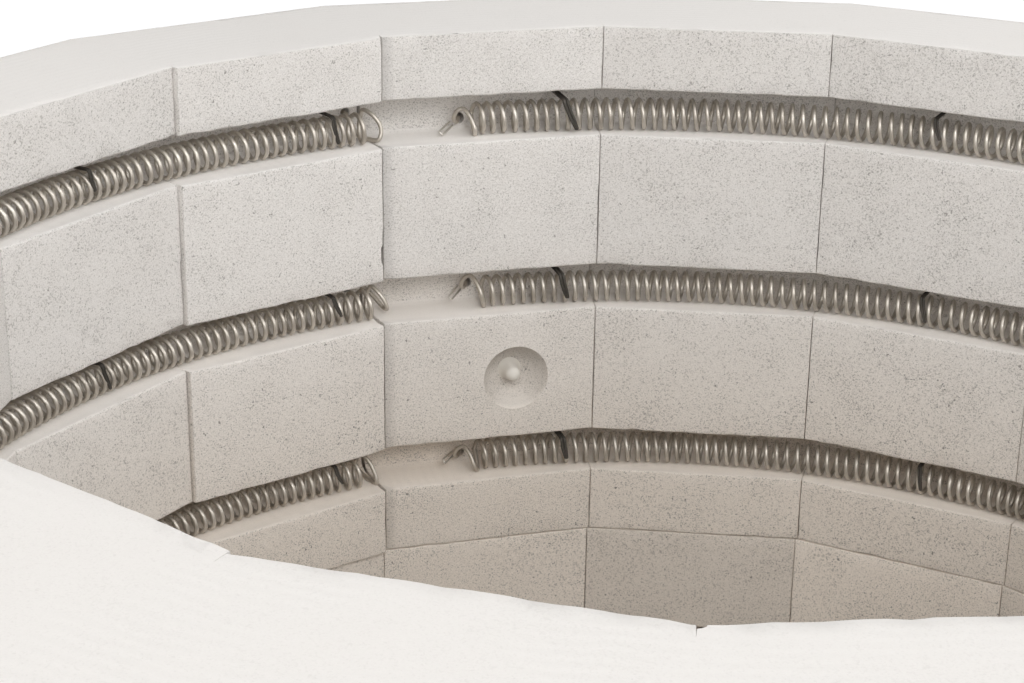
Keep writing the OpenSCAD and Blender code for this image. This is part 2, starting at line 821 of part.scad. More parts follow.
// Fixed half of the hinge: a plate on the jacket, two ears and the bar that stops the open lid
module hinge_bracket() {
    ear = [[-plate_face - sink, -hinge_up - bracket_top - bracket_h],
           [-plate_face - sink, -hinge_up - bracket_top],
           [-ear_r, ear_r / 2], [-ear_r / 2, ear_r], [ear_r / 2, ear_r],
           [stop_at.x + ear_tip, stop_at.y + ear_tip / 2],
           [stop_at.x + ear_tip, stop_at.y - ear_tip],
           [ear_foot - plate_face, -hinge_up - bracket_top - bracket_h]];
    color(paint_c) on_panel(0) difference() {
        union() {
            translate([jacket_n + seat_gap, -bracket_half, rim_z - bracket_top - bracket_h])
                cube([hinge_t, 2 * bracket_half, bracket_h]);
            for (s = [0, 1]) mirror([0, s, 0])
                translate([pin_n, hinge_w / 2, pin_z]) rotate([90, 0, 0])
                    linear_extrude(hinge_t) polygon(ear);
            translate([pin_n + stop_at.x, 0, pin_z + stop_at.y]) rotate([90, 0, 0])
                cylinder(h = 2 * ear_in + sink, r = stop_r, center = true);
        }
        translate([pin_n, 0, pin_z]) rotate([90, 0, 0])
            cylinder(h = hinge_w + 2 * sink, r = pin_d / 2 + turn_fit, center = true);
        at_wall_screws(0) screw_hole();
    }
}

module hinge_pin() {
    long = hinge_w + 2 * pin_head_h + seat_gap;
    color(steel_c) on_panel(0) translate([pin_n, 0, pin_z]) rotate([90, 0, 0]) {
        cylinder(h = long, r = pin_d / 2, center = true);
        for (s = [0, 1]) mirror([0, 0, s])
            translate([0, 0, long / 2 - pin_head_h]) cylinder(h = pin_head_h, r = pin_head_r);
    }
}

// Turns the closed lid back to where it rests open
module lid_rest() {
    translate([0, pin_n, pin_z]) rotate([-lid_open, 0, 0]) translate([0, -pin_n, -pin_z]) children();
}

// The two flats of the lid band either side of its front corner
module on_handle_feet() {
    for (k = [peep_panel - 1, peep_panel]) on_panel(k) children();
}

module at_lid_screws() {
    on_panel(0)
        for (s = [-1, 1], z = lid_screw_zs)
            outward(jacket_n + seat_gap + hinge_t, s * lid_screw_t, z) children();
    on_handle_feet()
        for (s = [-1, 1])
            outward(jacket_n + seat_gap + foot_plate_t, 0, handle_z + s * foot_screw_z) children();
}

// Moving half of the hinge: a plate on the lid band with two eyes round the pin
module hinge_arms() {
    arm = [[-plate_face - sink, -arm_low], [0, -arm_eye], edge_a, edge_b, [-plate_face - sink, arm_high]];
    plate_half = ear_in - arm_side;
    color(paint_c) lid_rest() difference() {
        on_panel(0) difference() {
            union() {
                translate([jacket_n + seat_gap, -plate_half, pin_z - arm_low])
                    cube([hinge_t, 2 * plate_half, arm_low + arm_high]);
                for (s = [0, 1]) mirror([0, s, 0])
                    translate([pin_n, plate_half, pin_z]) rotate([90, 0, 0]) {
                        linear_extrude(hinge_t) polygon(arm);
                        cylinder(h = hinge_t, r = arm_eye);
                    }
            }
            translate([pin_n, 0, pin_z]) rotate([90, 0, 0])
                cylinder(h = hinge_w, r = pin_d / 2 + turn_fit, center = true);
        }
        at_lid_screws() screw_hole();
    }
}

module lid_bricks() {
    color(brick_c) lid_rest() difference() {
        brick_slab(lid_z, lid_t);
        at_lid_screws() screw_hole();
    }
}

module lid_band() {
    color(steel_c) lid_rest() difference() {
        translate([0, 0, lid_z]) prism(jacket_n, lid_t);
        translate([0, 0, lid_z - sink]) prism(jacket_in, lid_t + 2 * sink);
        at_lid_screws() screw_hole();
    }
}

module lid_screws() {
    color(steel_c) lid_rest() at_lid_screws() screw();
}

// Cross rod of the handle on two posts with foot plates
module handle_rod() {
    color(steel_c) lid_rest() difference() {
        union() {
            on_handle_feet() {
                translate([jacket_n + seat_gap, -foot_plate_w / 2, handle_z - foot_plate_h / 2])
                    cube([foot_plate_t, foot_plate_w, foot_plate_h]);
                outward(jacket_n + seat_gap + foot_plate_t / 2, 0, handle_z)
                    cylinder(h = handle_out - seat_gap - foot_plate_t / 2, r = handle_rod_d / 2 - post_slim);
            }
            translate([0, handle_y, handle_z]) rotate([0, 90, 0])
                cylinder(h = 2 * (handle_x + handle_rod_d), r = handle_rod_d / 2, center = true);
        }
        at_lid_screws() screw_hole();
    }
}

module handle_grip() {
    long = 2 * (handle_x - grip_end);
    color(black_c) lid_rest() translate([0, handle_y, handle_z]) rotate([0, 90, 0]) difference() {
        cylinder(h = long, r = grip_d / 2, center = true);
        cylinder(h = long + 2 * sink, r = handle_rod_d / 2 + turn_fit, center = true);
    }
}

module peephole_plug() {
    seat = jacket_n + seat_gap;
    color(ceramic_c) on_panel(peep_panel) {
        outward(face_n + plug_short, 0, peep_z) cylinder(h = seat - face_n - plug_short + sink, r = plug_r);
        outward(seat, 0, peep_z) cylinder(h = plug_flange_h, r = plug_flange_r);
        outward(seat + plug_flange_h - sink, 0, peep_z)
            cylinder(h = plug_knob_l + sink, r1 = plug_knob_r * plug_taper, r2 = plug_knob_r);
    }
}

// Upright flange of the control box on the neighbouring flat of the jacket
module box_flange() {
    rotate([0, 0, step])
        translate([jacket_n + seat_gap, flange_t0 - 2 * box_t, box_z0 + flange_end])
            cube([box_t, flange_w + 2 * box_t, box_z1 - box_z0 - 2 * flange_end]);
}

module at_front_screws() {
    for (p = front_screws) outward(box_n + panel_t, p.x, p.y) children();
}

// Sheet steel case, open to the jacket behind and closed by the front panel
module control_box() {
    tall = box_z1 - box_z0;
    back = wall_meets_n - flange_w;
    color(paint_c) on_panel(tc_panel) difference() {
        union() {
            difference() {
                translate([back, -box_half, box_z0]) cube([box_n - back, 2 * box_half, tall]);
                translate([back - sink, -box_half + box_t, box_z0 + box_t])
                    cube([box_n - back + sink - box_t, 2 * (box_half - box_t), tall - 2 * box_t]);
                translate([back, -box_half + box_lip, box_z0 + box_lip])
                    cube([box_n - back + sink, 2 * (box_half - box_lip), tall - 2 * box_lip]);
                rotate([0, 0, -panel_angle(tc_panel)]) translate([0, 0, box_z0 - sink])
                    prism(jacket_n + seat_gap + box_t / 2, tall + 2 * sink);
            }
            box_flange();
            mirror([0, 1, 0]) box_flange();
        }
        at_front_screws() screw_hole();
        for (s = [-1, 1]) rotate([0, 0, s * step])
            for (z = flange_screw_zs)
                outward(jacket_n + seat_gap + box_t, s * flange_screw_t, z) screw_hole();
        for (i = [0:vent_n - 1])
            translate([box_n - vent_front - vent_l, (i - (vent_n - 1) / 2) * vent_pitch - vent_w / 2,
                       box_z1 - box_t - sink])
                cube([vent_l, vent_w, box_t + 2 * sink]);
        translate([gland_n, gland_t, box_z0 - sink])
            cylinder(h = box_t + 2 * sink, r = gland_thread_r + screw_fit);
    }
}

module control_panel() {
    tall = box_z1 - box_z0;
    color(paint_c) on_panel(tc_panel) difference() {
        translate([box_n, -box_half, box_z0]) cube([panel_t, 2 * box_half, tall]);
        translate([box_n - sink, -display_w / 2, display_z - display_h / 2])
            cube([panel_t + 2 * sink, display_w, display_h]);
        for (i = [0:3]) outward(box_n - sink, key_t(i), key_z)
            cylinder(h = panel_t + 2 * sink, r = key_d / 2 + slide_fit);
        translate([box_n - sink, switch_t - switch_w / 2 - switch_wall - screw_fit,
                   switch_z - switch_h / 2 - switch_wall - screw_fit])
            cube([panel_t + 2 * sink, switch_w + 2 * (switch_wall + screw_fit),
                  switch_h + 2 * (switch_wall + screw_fit)]);
        outward(box_n - sink, lamp_t, switch_z) cylinder(h = panel_t + 2 * sink, r = lamp_r + screw_fit);
        at_front_screws() screw_hole();
    }
}

// Screws of the front panel and of the box's flanges
// Like screws of the control box, its front panel and the hinge bracket
module case_screws() {
    color(steel_c) {
        on_panel(tc_panel) at_front_screws() screw(panel_t + 2 * box_t);
        for (k = [0, left_panel, right_panel]) on_panel(k) at_wall_screws(k) screw();
    }
}

// Electronics housing on four posts behind the front panel
module controller() {
    front = box_n - control_gap;
    color(black_c) on_panel(tc_panel) {
        translate([front - control_deep, -control_half, control_z - control_down])
            cube([control_deep, 2 * control_half, control_up + control_down]);
        translate([front - sink, -display_w / 2 + post_r, display_z - display_h / 2 + post_r])
            cube([control_gap + sink - seat_gap, display_w - 2 * post_r, display_h - 2 * post_r]);
        for (s = [-1, 1], z = [control_z - control_down + post_r, control_z + control_up - post_r])
            outward(front - sink, s * (control_half - post_r), z)
                cylinder(h = control_gap + sink - seat_gap, r = post_r);
    }
}

module display_window() {
    color([0.08, 0.10, 0.12]) on_panel(tc_panel)
        translate([box_n, -display_w / 2 + window_fit, display_z - display_h / 2 + window_fit])
            cube([panel_t, display_w - 2 * window_fit, display_h - 2 * window_fit]);
}

// A key cap through the front panel, kept by a flange behind it
module key(i) {
    color([0.55, 0.56, 0.58]) on_panel(tc_panel) {
        outward(box_n - seat_gap - key_flange_t, key_t(i), key_z)
            cylinder(h = seat_gap + key_flange_t + panel_t + key_proud, r = key_d / 2);
        outward(box_n - seat_gap - key_flange_t, key_t(i), key_z)
            cylinder(h = key_flange_t, r = key_d / 2 + key_flange);
    }
}

// Switch housing with its bezel, and bores for the rocker's pivot
module power_switch() {
    bezel_w = switch_w + 2 * (switch_wall + switch_bezel);
    bezel_h = switch_h + 2 * (switch_wall + switch_bezel);
    front = box_n + panel_t + switch_bezel_t;
    color(black_c) on_panel(tc_panel) translate([0, switch_t, switch_z]) difference() {
        union() {
            translate([box_n + panel_t, -bezel_w / 2, -bezel_h / 2]) cube([switch_bezel_t, bezel_w, bezel_h]);
            translate([box_n - switch_deep, -switch_w / 2 - switch_wall, -switch_h / 2 - switch_wall])
                cube([switch_deep + panel_t + sink, switch_w + 2 * switch_wall, switch_h + 2 * switch_wall]);
        }
        translate([front - switch_cavity, -switch_w / 2, -switch_h / 2])
            cube([switch_cavity + sink, switch_w, switch_h]);
        translate([box_n - pivot_back, 0, 0]) rotate([90, 0, 0])
            cylinder(h = switch_w + 2 * pivot_in + 2 * turn_fit, r = pivot_r + turn_fit, center = true);
    }
}

// Rocker at rest in its off position, turned about its pivot
module power_rocker() {
    wide = switch_w - 2 * rocker_side;
    side = [[-rocker_back, -rocker_back], [1, -rocker_half], [rocker_tip, -rocker_half], [rocker_mid, 0],
            [rocker_tip, rocker_half], [1, rocker_half], [-rocker_back, rocker_back]];
    color(black_c) on_panel(tc_panel) translate([box_n - pivot_back, switch_t, switch_z]) {
        rotate([0, -rocker_tilt, 0]) rotate([90, 0, 0]) linear_extrude(wide, center = true) polygon(side);
        rotate([90, 0, 0]) cylinder(h = switch_w + 2 * pivot_in, r = pivot_r, center = true);
    }
}

module pilot_lamp() {
    front = box_n + panel_t;
    color([0.75, 0.12, 0.08]) on_panel(tc_panel) {
        outward(box_n - lamp_deep, lamp_t, switch_z)
            cylinder(h = lamp_deep + panel_t + lamp_rim_h, r = lamp_r);
        outward(front, lamp_t, switch_z) cylinder(h = lamp_rim_h, r = lamp_rim_r);
        translate([front + lamp_rim_h, lamp_t, switch_z]) sphere(r = lamp_r);
    }
}

// Two stepped contactors on the side wall of the box
module contactors() {
    side = -box_half + box_t + seat_gap;
    color(black_c) on_panel(tc_panel) for (i = [0, 1]) {
        z = box_z0 + box_lip + i * (contactor_h + contactor_gap);
        translate([contactor_n0, side, z]) cube([contactor_n, contactor_t - contactor_step, contactor_h]);
        translate([contactor_n0, side, z + contactor_step])
            cube([contactor_n, contactor_t, contactor_h - 2 * contactor_step]);
    }
}

// Mains terminal block on the bottom of the box, with a screw well for each way
module terminal_block() {
    ways = floor((block_t - block_way / 2) / block_way);
    color(ceramic_c) on_panel(tc_panel) difference() {
        translate([block_n0, block_mid_t - block_t / 2, box_z0 + box_t + seat_gap])
            cube([block_n, block_t, block_h]);
        for (i = [0:ways - 1], n = [block_well_n, block_n - block_well_n])
            translate([block_n0 + n, block_mid_t + (i - (ways - 1) / 2) * block_way,
                       box_z0 + box_t + seat_gap + block_h - block_well])
                cylinder(h = block_well + sink, r = block_screw_r);
    }
}

// Cable inlet through the bottom of the box
module cable_gland() {
    under = box_z0 - seat_gap;
    over = box_z0 + box_t + seat_gap;
    color(black_c) on_panel(tc_panel) translate([gland_n, gland_t, 0]) difference() {
        union() {
            translate([0, 0, under - gland_below])
                cylinder(h = over - under + gland_below + gland_lock_h + sink, r = gland_thread_r);
            translate([0, 0, under - gland_nut_h]) cylinder(h = gland_nut_h, r = gland_nut_r, $fn = 6);
            translate([0, 0, under - gland_below])
                cylinder(h = gland_below - gland_nut_h - sink, r = gland_cap_r);
            translate([0, 0, over]) cylinder(h = gland_lock_h, r = gland_nut_r, $fn = 6);
        }
        translate([0, 0, under - gland_below - sink])
            cylinder(h = 2 * gland_below + gland_nut_h + gland_lock_h, r = gland_bore / 2);
    }
}

for (k = [0:panels - 1]) wall_brick(k);
for (i = [0:3]) element(i);
for (i = [0:3]) key(i);
lower_bricks();
floor_bricks();
inlet_brick();
base_pan();
jacket();
jacket_bolts();
stand_frame();
stand_legs();
damper_plate();
damper_rails();
element_staples();
element_bushings();
element_terminals();
thermocouple();
thermocouple_head();
hinge_bracket();
hinge_pin();
hinge_arms();
lid_bricks();
lid_band();
lid_screws();
handle_rod();
handle_grip();
peephole_plug();
control_box();
control_panel();
case_screws();
controller();
display_window();
power_switch();
power_rocker();
pilot_lamp();
contactors();
terminal_block();
cable_gland();
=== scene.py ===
import json
import math
import random

import bmesh
import bpy
import numpy as np
from mathutils import Matrix, Vector, noise

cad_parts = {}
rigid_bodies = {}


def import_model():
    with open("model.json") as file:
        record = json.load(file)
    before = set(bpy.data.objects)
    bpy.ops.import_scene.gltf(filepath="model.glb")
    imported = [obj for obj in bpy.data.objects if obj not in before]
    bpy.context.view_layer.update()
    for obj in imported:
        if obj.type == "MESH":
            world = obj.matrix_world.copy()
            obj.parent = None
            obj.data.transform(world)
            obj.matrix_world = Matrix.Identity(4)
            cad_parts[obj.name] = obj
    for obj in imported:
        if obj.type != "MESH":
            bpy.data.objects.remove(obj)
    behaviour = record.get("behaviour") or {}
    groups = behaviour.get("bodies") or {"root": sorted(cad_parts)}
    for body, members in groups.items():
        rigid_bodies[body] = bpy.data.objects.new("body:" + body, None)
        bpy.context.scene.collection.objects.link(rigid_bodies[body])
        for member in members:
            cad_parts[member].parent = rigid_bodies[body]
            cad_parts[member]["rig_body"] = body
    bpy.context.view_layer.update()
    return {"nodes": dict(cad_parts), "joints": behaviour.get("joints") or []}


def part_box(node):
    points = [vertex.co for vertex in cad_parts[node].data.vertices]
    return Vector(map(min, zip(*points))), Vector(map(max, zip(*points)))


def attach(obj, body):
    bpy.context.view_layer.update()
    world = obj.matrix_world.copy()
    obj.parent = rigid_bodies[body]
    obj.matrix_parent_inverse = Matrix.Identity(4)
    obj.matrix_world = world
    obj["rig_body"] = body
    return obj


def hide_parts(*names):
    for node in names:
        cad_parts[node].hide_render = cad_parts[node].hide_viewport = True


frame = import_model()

# Sizes taken from the frame, in metres
PANELS = sum(name.startswith("wall_brick_") for name in frame["nodes"])
STEP = 2 * math.pi / PANELS
HALF = STEP / 2
back_low, back_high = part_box("wall_brick_01")
FACE_N, BRICK_N = back_low.y, back_high.y
JOINT_Z, RIM_Z = back_low.z, back_high.z
course_low, course_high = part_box("lower_bricks")
COURSE_Z, COURSE_TOP = course_low.z, course_high.z
LID_JOINT = next(joint for joint in frame["joints"] if joint["name"] == "lid_hinge")
LID_PIN = Vector(LID_JOINT["pos_m"])
LID_OPEN = math.radians(LID_JOINT["range_deg"][1])

# Panels, counted clockwise from the hinge
LEFT_PANEL = 3
TC_PANEL = 4
PEEP_PANEL = 9

# Grooves and elements, as in the part's source but with a slightly thicker wire
GROOVE_DROPS = (0.0365, 0.1137, 0.1909)
LOWER_GROOVE = (JOINT_Z + COURSE_Z) / 2
GROOVE_ZS = [RIM_Z - drop for drop in GROOVE_DROPS] + [LOWER_GROOVE]
GROOVE_H = 0.0195
GROOVE_D = 0.024
GROOVE_N = FACE_N + GROOVE_D
GROOVE_R = 0.005
COIL_OD = 0.0138
WIRE_D = 0.0019
COIL_A = (COIL_OD - WIRE_D) / 2
COIL_REST = 0.0002
RING_R = FACE_N + 0.012
TAIL_RIGHT_T = 0.0075
TAIL_LEFT_T = -0.044
TAIL_HOLE_R = 0.0044
FLARE_T = -0.0115
FLARE_Z = RIM_Z - 0.1535
FLARE_R = 0.0145
FLARE_DEEP = 0.012
SHEATH_HOLE_R = 0.0039
PEEP_Z = RIM_Z - 0.153
PEEP_R = 0.010

# Turns a shape along Z to point out of a panel
OUTWARD = Matrix.Rotation(math.pi / 2, 4, "Y")

draw = random.Random(17)
scene = bpy.context.scene


def panel_angle(k):
    return math.pi / 2 - k * STEP


def panel_point(k, n, t, z):
    """A point on panel k: n outward, t along the panel, z up."""
    c, s = math.cos(panel_angle(k)), math.sin(panel_angle(k))
    return Vector((n * c - t * s, n * s + t * c, z))


def panel_frame(k, n=0.0, t=0.0, z=0.0):
    """Matrix with X outward, Y along panel k and Z up, at a point on the panel."""
    return Matrix.Translation(panel_point(k, n, t, z)) @ Matrix.Rotation(panel_angle(k), 4, "Z")


def corner_t(n, side):
    """Where a panel ends along t, at n from the middle of the chamber."""
    return side * n * math.tan(HALF)


def direction(around, above):
    """Unit vector by its angle round Z and its angle above the ground."""
    flat = math.cos(above)
    return Vector((flat * math.cos(around), flat * math.sin(around), math.sin(above)))


def closed_lid():
    """Matrix that turns the open lid shut."""
    turn = Matrix.Rotation(LID_OPEN, 4, "X")
    return Matrix.Translation(LID_PIN) @ turn @ Matrix.Translation(-LID_PIN)


# Node helpers

def add(tree, kind, inputs=None, **settings):
    node = tree.nodes.new(kind)
    for key, value in settings.items():
        setattr(node, key, value)
    for key, value in (inputs or {}).items():
        if isinstance(value, bpy.types.NodeSocket):
            tree.links.new(value, node.inputs[key])
        else:
            node.inputs[key].default_value = value
    return node


def math_node(tree, operation, a, b=0.0):
    return add(tree, "ShaderNodeMath", {0: a, 1: b}, operation=operation).outputs[0]


def product(tree, a, b):
    return math_node(tree, "MULTIPLY", a, b)


def spread(tree, value, low, high, to_low=0.0, to_high=1.0):
    """Maps a value between two limits, clamped."""
    inputs = {"Value": value, "From Min": low, "From Max": high, "To Min": to_low, "To Max": to_high}
    return add(tree, "ShaderNodeMapRange", inputs).outputs[0]


def mix(tree, factor, a, b, blend="MIX"):
    inputs = {0: factor, 6: a, 7: b}
    return add(tree, "ShaderNodeMix", inputs, data_type="RGBA", blend_type=blend).outputs[2]


def tinted(tree, color, by):
    return mix(tree, 1.0, color, by, "MULTIPLY")


def noise_node(tree, place, scale, detail=3.0, rough=0.55):
    inputs = {"Vector": place, "Scale": scale, "Detail": detail, "Roughness": rough}
    return add(tree, "ShaderNodeTexNoise", inputs).outputs["Fac"]


def stretched(tree, place, scale):
    return add(tree, "ShaderNodeMapping", {"Vector": place, "Scale": scale}).outputs[0]


def bump(tree, bsdf, height, strength, distance):
    inputs = {"Height": height, "Strength": strength, "Distance": distance}
    tree.links.new(add(tree, "ShaderNodeBump", inputs).outputs[0], bsdf.inputs["Normal"])


def new_material(name, color, rough, metal=0.0, **sockets):
    """A material with the constant values set, and the place on the piece that its textures read."""
    mat = bpy.data.materials.new(name + "_finish")
    mat["slot"] = name
    mat.use_nodes = True
    tree = mat.node_tree
    bsdf = tree.nodes["Principled BSDF"]
    values = {"Base Color": rgba(*color), "Roughness": rough, "Metallic": metal, **sockets}
    for key, value in values.items():
        bsdf.inputs[key.replace("_", " ")].default_value = value
    place = add(tree, "ShaderNodeAttribute", attribute_name="grain_co").outputs["Vector"]
    return mat, tree, bsdf, place


def rgba(*color):
    return (*color, 1.0)


# Materials

def firebrick():
    """Pale porous brick: specks, a fine grain and saw marks, rubbed clean on top, and warmer low down as
    painted warm bounce light, where the specks are also darker.
    """
    color = (0.82, 0.797, 0.77)
    mat, tree, bsdf, place = new_material("firebrick", color, 0.95, Specular_IOR_Level=0.15)
    tint = add(tree, "ShaderNodeAttribute", attribute_name="tint").outputs["Fac"]
    warm = add(tree, "ShaderNodeAttribute", attribute_name="warm").outputs["Fac"]
    normal = add(tree, "ShaderNodeNewGeometry").outputs["True Normal"]
    up = add(tree, "ShaderNodeSeparateXYZ", {0: normal}).outputs[2]
    rubbed = spread(tree, up, 0.6, 0.95, 1.0, 0.12)
    cloud = noise_node(tree, place, 22.0, 4.0)
    grain = noise_node(tree, place, 1600.0, 3.0, 0.8)
    wave = {"Vector": place, "Scale": 75.0, "Distortion": 3.0, "Detail": 2.0}
    arcs = add(tree, "ShaderNodeTexWave", wave, wave_type="RINGS", rings_direction="Z").outputs["Fac"]
    scored = product(tree, arcs, spread(tree, cloud, 0.42, 0.6))

    thick = noise_node(tree, place, 55.0, 3.0)
    lean = spread(tree, thick, 0.3, 0.7, 0.035, -0.03)
    fine_field = noise_node(tree, place, 1450.0, 2.0, 0.7)
    large_field = noise_node(tree, stretched(tree, place, (1.0, 1.0, 1.3)), 540.0, 2.5, 0.62)
    fine = spread(tree, math_node(tree, "SUBTRACT", fine_field, lean), 0.55, 0.65)
    large = spread(tree, math_node(tree, "SUBTRACT", large_field, lean), 0.665, 0.71)
    spots = math_node(tree, "MAXIMUM", product(tree, fine, 0.72), large)

    base = mix(tree, cloud, rgba(0.812, 0.782, 0.75), rgba(0.85, 0.828, 0.802))
    dull = tinted(tree, base, rgba(0.80, 0.79, 0.78))
    base = mix(tree, product(tree, spread(tree, grain, 0.6, 0.34), rubbed), base, dull)
    base = mix(tree, product(tree, scored, 0.12), base, dull)
    # Painted warm bounce light: the colour grows warmer deeper in the chamber
    base = mix(tree, warm, base, tinted(tree, base, rgba(1.0, 0.945, 0.88)))
    base = tinted(tree, base, tint)
    # The same depth ramp makes the specks darker deeper down
    strength = spread(tree, warm, 0.0, 1.0, 0.72, 0.95)
    dark = product(tree, product(tree, spots, rubbed), strength)
    base = mix(tree, dark, base, rgba(0.25, 0.235, 0.212))
    tree.links.new(base, bsdf.inputs["Base Color"])

    height = math_node(tree, "SUBTRACT", product(tree, grain, 0.4), spots)
    height = math_node(tree, "ADD", height, product(tree, scored, 0.3))
    bump(tree, bsdf, product(tree, height, rubbed), 0.5, 0.0005)
    return mat


def brushed(name, color, rough, scale):
    """Sheet or bar metal with fine drawn lines."""
    mat, tree, bsdf, place = new_material(name, color, rough, 1.0)
    lines = noise_node(tree, stretched(tree, place, scale), 1.0, 4.0, 0.6)
    smear = noise_node(tree, place, 9.0, 3.0)
    dark = [c * 0.80 for c in color]
    tone = mix(tree, spread(tree, lines, 0.35, 0.65), rgba(*dark), rgba(*color))
    tree.links.new(tone, bsdf.inputs["Base Color"])
    both = math_node(tree, "ADD", product(tree, lines, 0.5), product(tree, smear, 0.5))
    tree.links.new(spread(tree, both, 0.3, 0.7, rough - 0.08, rough + 0.12), bsdf.inputs["Roughness"])
    bump(tree, bsdf, lines, 0.12, 0.0002)
    return mat


def clouded(tree, bsdf, place, color, scale, gain, lift):
    """Lets a colour change a little to a lighter one in clouds."""
    light = [min(1.0, c * gain + lift) for c in color]
    tone = mix(tree, noise_node(tree, place, scale), rgba(*color), rgba(*light))
    tree.links.new(tone, bsdf.inputs["Base Color"])


def painted(name, color, rough, texture_scale):
    """Powder coat: a fine orange peel with a slight change of tone."""
    mat, tree, bsdf, place = new_material(name, color, rough)
    peel = noise_node(tree, place, texture_scale, 2.0)
    clouded(tree, bsdf, place, color, 7.0, 1.22, 0.004)
    tree.links.new(spread(tree, peel, 0.3, 0.7, rough - 0.07, rough + 0.08), bsdf.inputs["Roughness"])
    bump(tree, bsdf, peel, 0.25, 0.0003)
    return mat


def moulded(name, color, rough, grain_scale=1600.0, strength=0.15, **sockets):
    """Plastic, glass or glazed ceramic with a fine surface grain."""
    mat, tree, bsdf, place = new_material(name, color, rough, **sockets)
    grain = noise_node(tree, place, grain_scale, 2.0)
    clouded(tree, bsdf, place, color, 30.0, 1.15, 0.003)
    bump(tree, bsdf, grain, strength, 0.0002)
    return mat


def oxidised_wire(name, low, high, metal, rough):
    """Resistance wire, dull in patches and brighter where it is bare."""
    mat, tree, bsdf, place = new_material(name, low, rough, metal)
    patch = noise_node(tree, place, 60.0, 4.0)
    fine = noise_node(tree, place, 1500.0, 2.0)
    tone = mix(tree, spread(tree, patch, 0.35, 0.65), rgba(*low), rgba(*high))
    tree.links.new(tone, bsdf.inputs["Base Color"])
    tree.links.new(spread(tree, fine, 0.3, 0.7, rough - 0.06, rough + 0.12), bsdf.inputs["Roughness"])
    bump(tree, bsdf, fine, 0.2, 0.0001)
    return mat


FIREBRICK = firebrick()
WIRE = oxidised_wire("heating_wire", (0.51, 0.47, 0.415), (0.66, 0.62, 0.56), 0.88, 0.5)
BARE_WIRE = oxidised_wire("heating_wire", (0.62, 0.59, 0.54), (0.74, 0.71, 0.66), 0.7, 0.4)
DARK_WIRE = oxidised_wire("heating_wire", (0.05, 0.045, 0.038), (0.09, 0.08, 0.07), 0.3, 0.6)
CERAMIC = moulded("white_ceramic", (0.70, 0.67, 0.615), 0.6, 700.0, 0.25)
STAINLESS = brushed("stainless_sheet", (0.44, 0.44, 0.43), 0.32, (25.0, 25.0, 1500.0))
STEEL = brushed("bright_steel", (0.46, 0.46, 0.46), 0.28, (600.0, 600.0, 600.0))
DARK_PAINT = painted("dark_paint", (0.040, 0.044, 0.049), 0.48, 900.0)
PANEL_PAINT = painted("panel_paint", (0.22, 0.23, 0.24), 0.46, 1100.0)
BRASS = brushed("brass", (0.72, 0.52, 0.22), 0.30, (500.0, 500.0, 500.0))
PLASTIC = moulded("black_plastic", (0.018, 0.018, 0.02), 0.5)
GLOSS = moulded("gloss_black", (0.012, 0.012, 0.013), 0.18, 300.0, 0.03)
KEY_PLASTIC = moulded("key_plastic", (0.34, 0.35, 0.37), 0.42)
GLASS = moulded("display_glass", (0.012, 0.014, 0.018), 0.07, 40.0, 0.01, Coat_Weight=0.6)
LENS = moulded("red_lens", (0.50, 0.018, 0.012), 0.12, 200.0, 0.03, Coat_Weight=0.5)
MARKS = moulded("mark_paint", (0.78, 0.78, 0.76), 0.5)
SEGMENTS = moulded("unlit_segments", (0.075, 0.030, 0.026), 0.25, 300.0, 0.02)


# Mesh helpers: distance of double vertices, and turns of merged faces and eased edges
WELD = 2e-6
FLAT = math.radians(0.5)
SHARP = math.radians(30.0)


def islands(mesh):
    """Number of the loose part that each vertex belongs to."""
    root = list(range(len(mesh.vertices)))

    def find(i):
        while root[i] != i:
            root[i] = root[root[i]]
            i = root[i]
        return i

    for edge in mesh.edges:
        a, b = find(edge.vertices[0]), find(edge.vertices[1])
        if a != b:
            root[a] = b
    return [find(i) for i in range(len(root))]


def coordinates(mesh):
    co = np.zeros(len(mesh.vertices) * 3)
    mesh.vertices.foreach_get("co", co)
    return co.reshape(-1, 3)


def store(mesh, name, values, kind="FLOAT", field="value"):
    """Stores a value or a vector for each vertex."""
    data = mesh.attributes.new(name, kind, "POINT").data
    data.foreach_set(field, values.astype(np.float32).ravel())


def give_grain(mesh, body, loose=False, place=None, tint=1.0):
    """Stores where each vertex lies in its piece, with the lid shut, so the textures move with it."""
    co = coordinates(mesh) if place is None else place
    if body == "lid":
        turn = np.array(closed_lid())
        co = co @ turn[:3, :3].T + turn[:3, 3]
    tints = np.full(len(co), tint)
    if loose:
        parts = islands(mesh)
        for part in sorted(set(parts)):
            mask = np.array(parts) == part
            co[mask] += [draw.uniform(-1, 1) for _ in range(3)]
            tints[mask] = draw.uniform(0.96, 1.0)
    store(mesh, "grain_co", co, "FLOAT_VECTOR", "vector")
    store(mesh, "tint", tints)


def linked(name, data):
    """A new object of the scene."""
    obj = bpy.data.objects.new(name, data)
    scene.collection.objects.link(obj)
    return obj


def piece(name, mesh, material, body, nodes=(), slot=None, angle=38.0, grain=True, loose=False):
    """A finished piece of a mesh, with its material, shading, body and the nodes it stands for; the slot
    argument is not used.
    """
    obj = linked(name, mesh)
    mesh.materials.clear()
    mesh.materials.append(material)
    mesh.polygons.foreach_set("use_smooth", [True] * len(mesh.polygons))
    mesh.set_sharp_from_angle(angle=math.radians(angle))
    if grain:
        give_grain(mesh, body, loose)
    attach(obj, body)
    if nodes:
        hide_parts(*nodes)
    return obj


def mesh_of(name, verts, faces):
    """A mesh with its faces turned outward and its many sided faces cut into triangles."""
    mesh = bpy.data.meshes.new(name)
    mesh.from_pydata([tuple(v) for v in verts], [], faces)
    bm = bmesh.new()
    bm.from_mesh(mesh)
    bmesh.ops.triangulate(bm, faces=[f for f in bm.faces if len(f.verts) > 4], ngon_method="EAR_CLIP")
    bmesh.ops.recalc_face_normals(bm, faces=bm.faces)
    bm.to_mesh(mesh)
    bm.free()
    return mesh


def shaped(name, shape, *place, **settings):
    """A finished piece of vertices and faces."""
    return piece(name, mesh_of(name, *shape), *place, **settings)


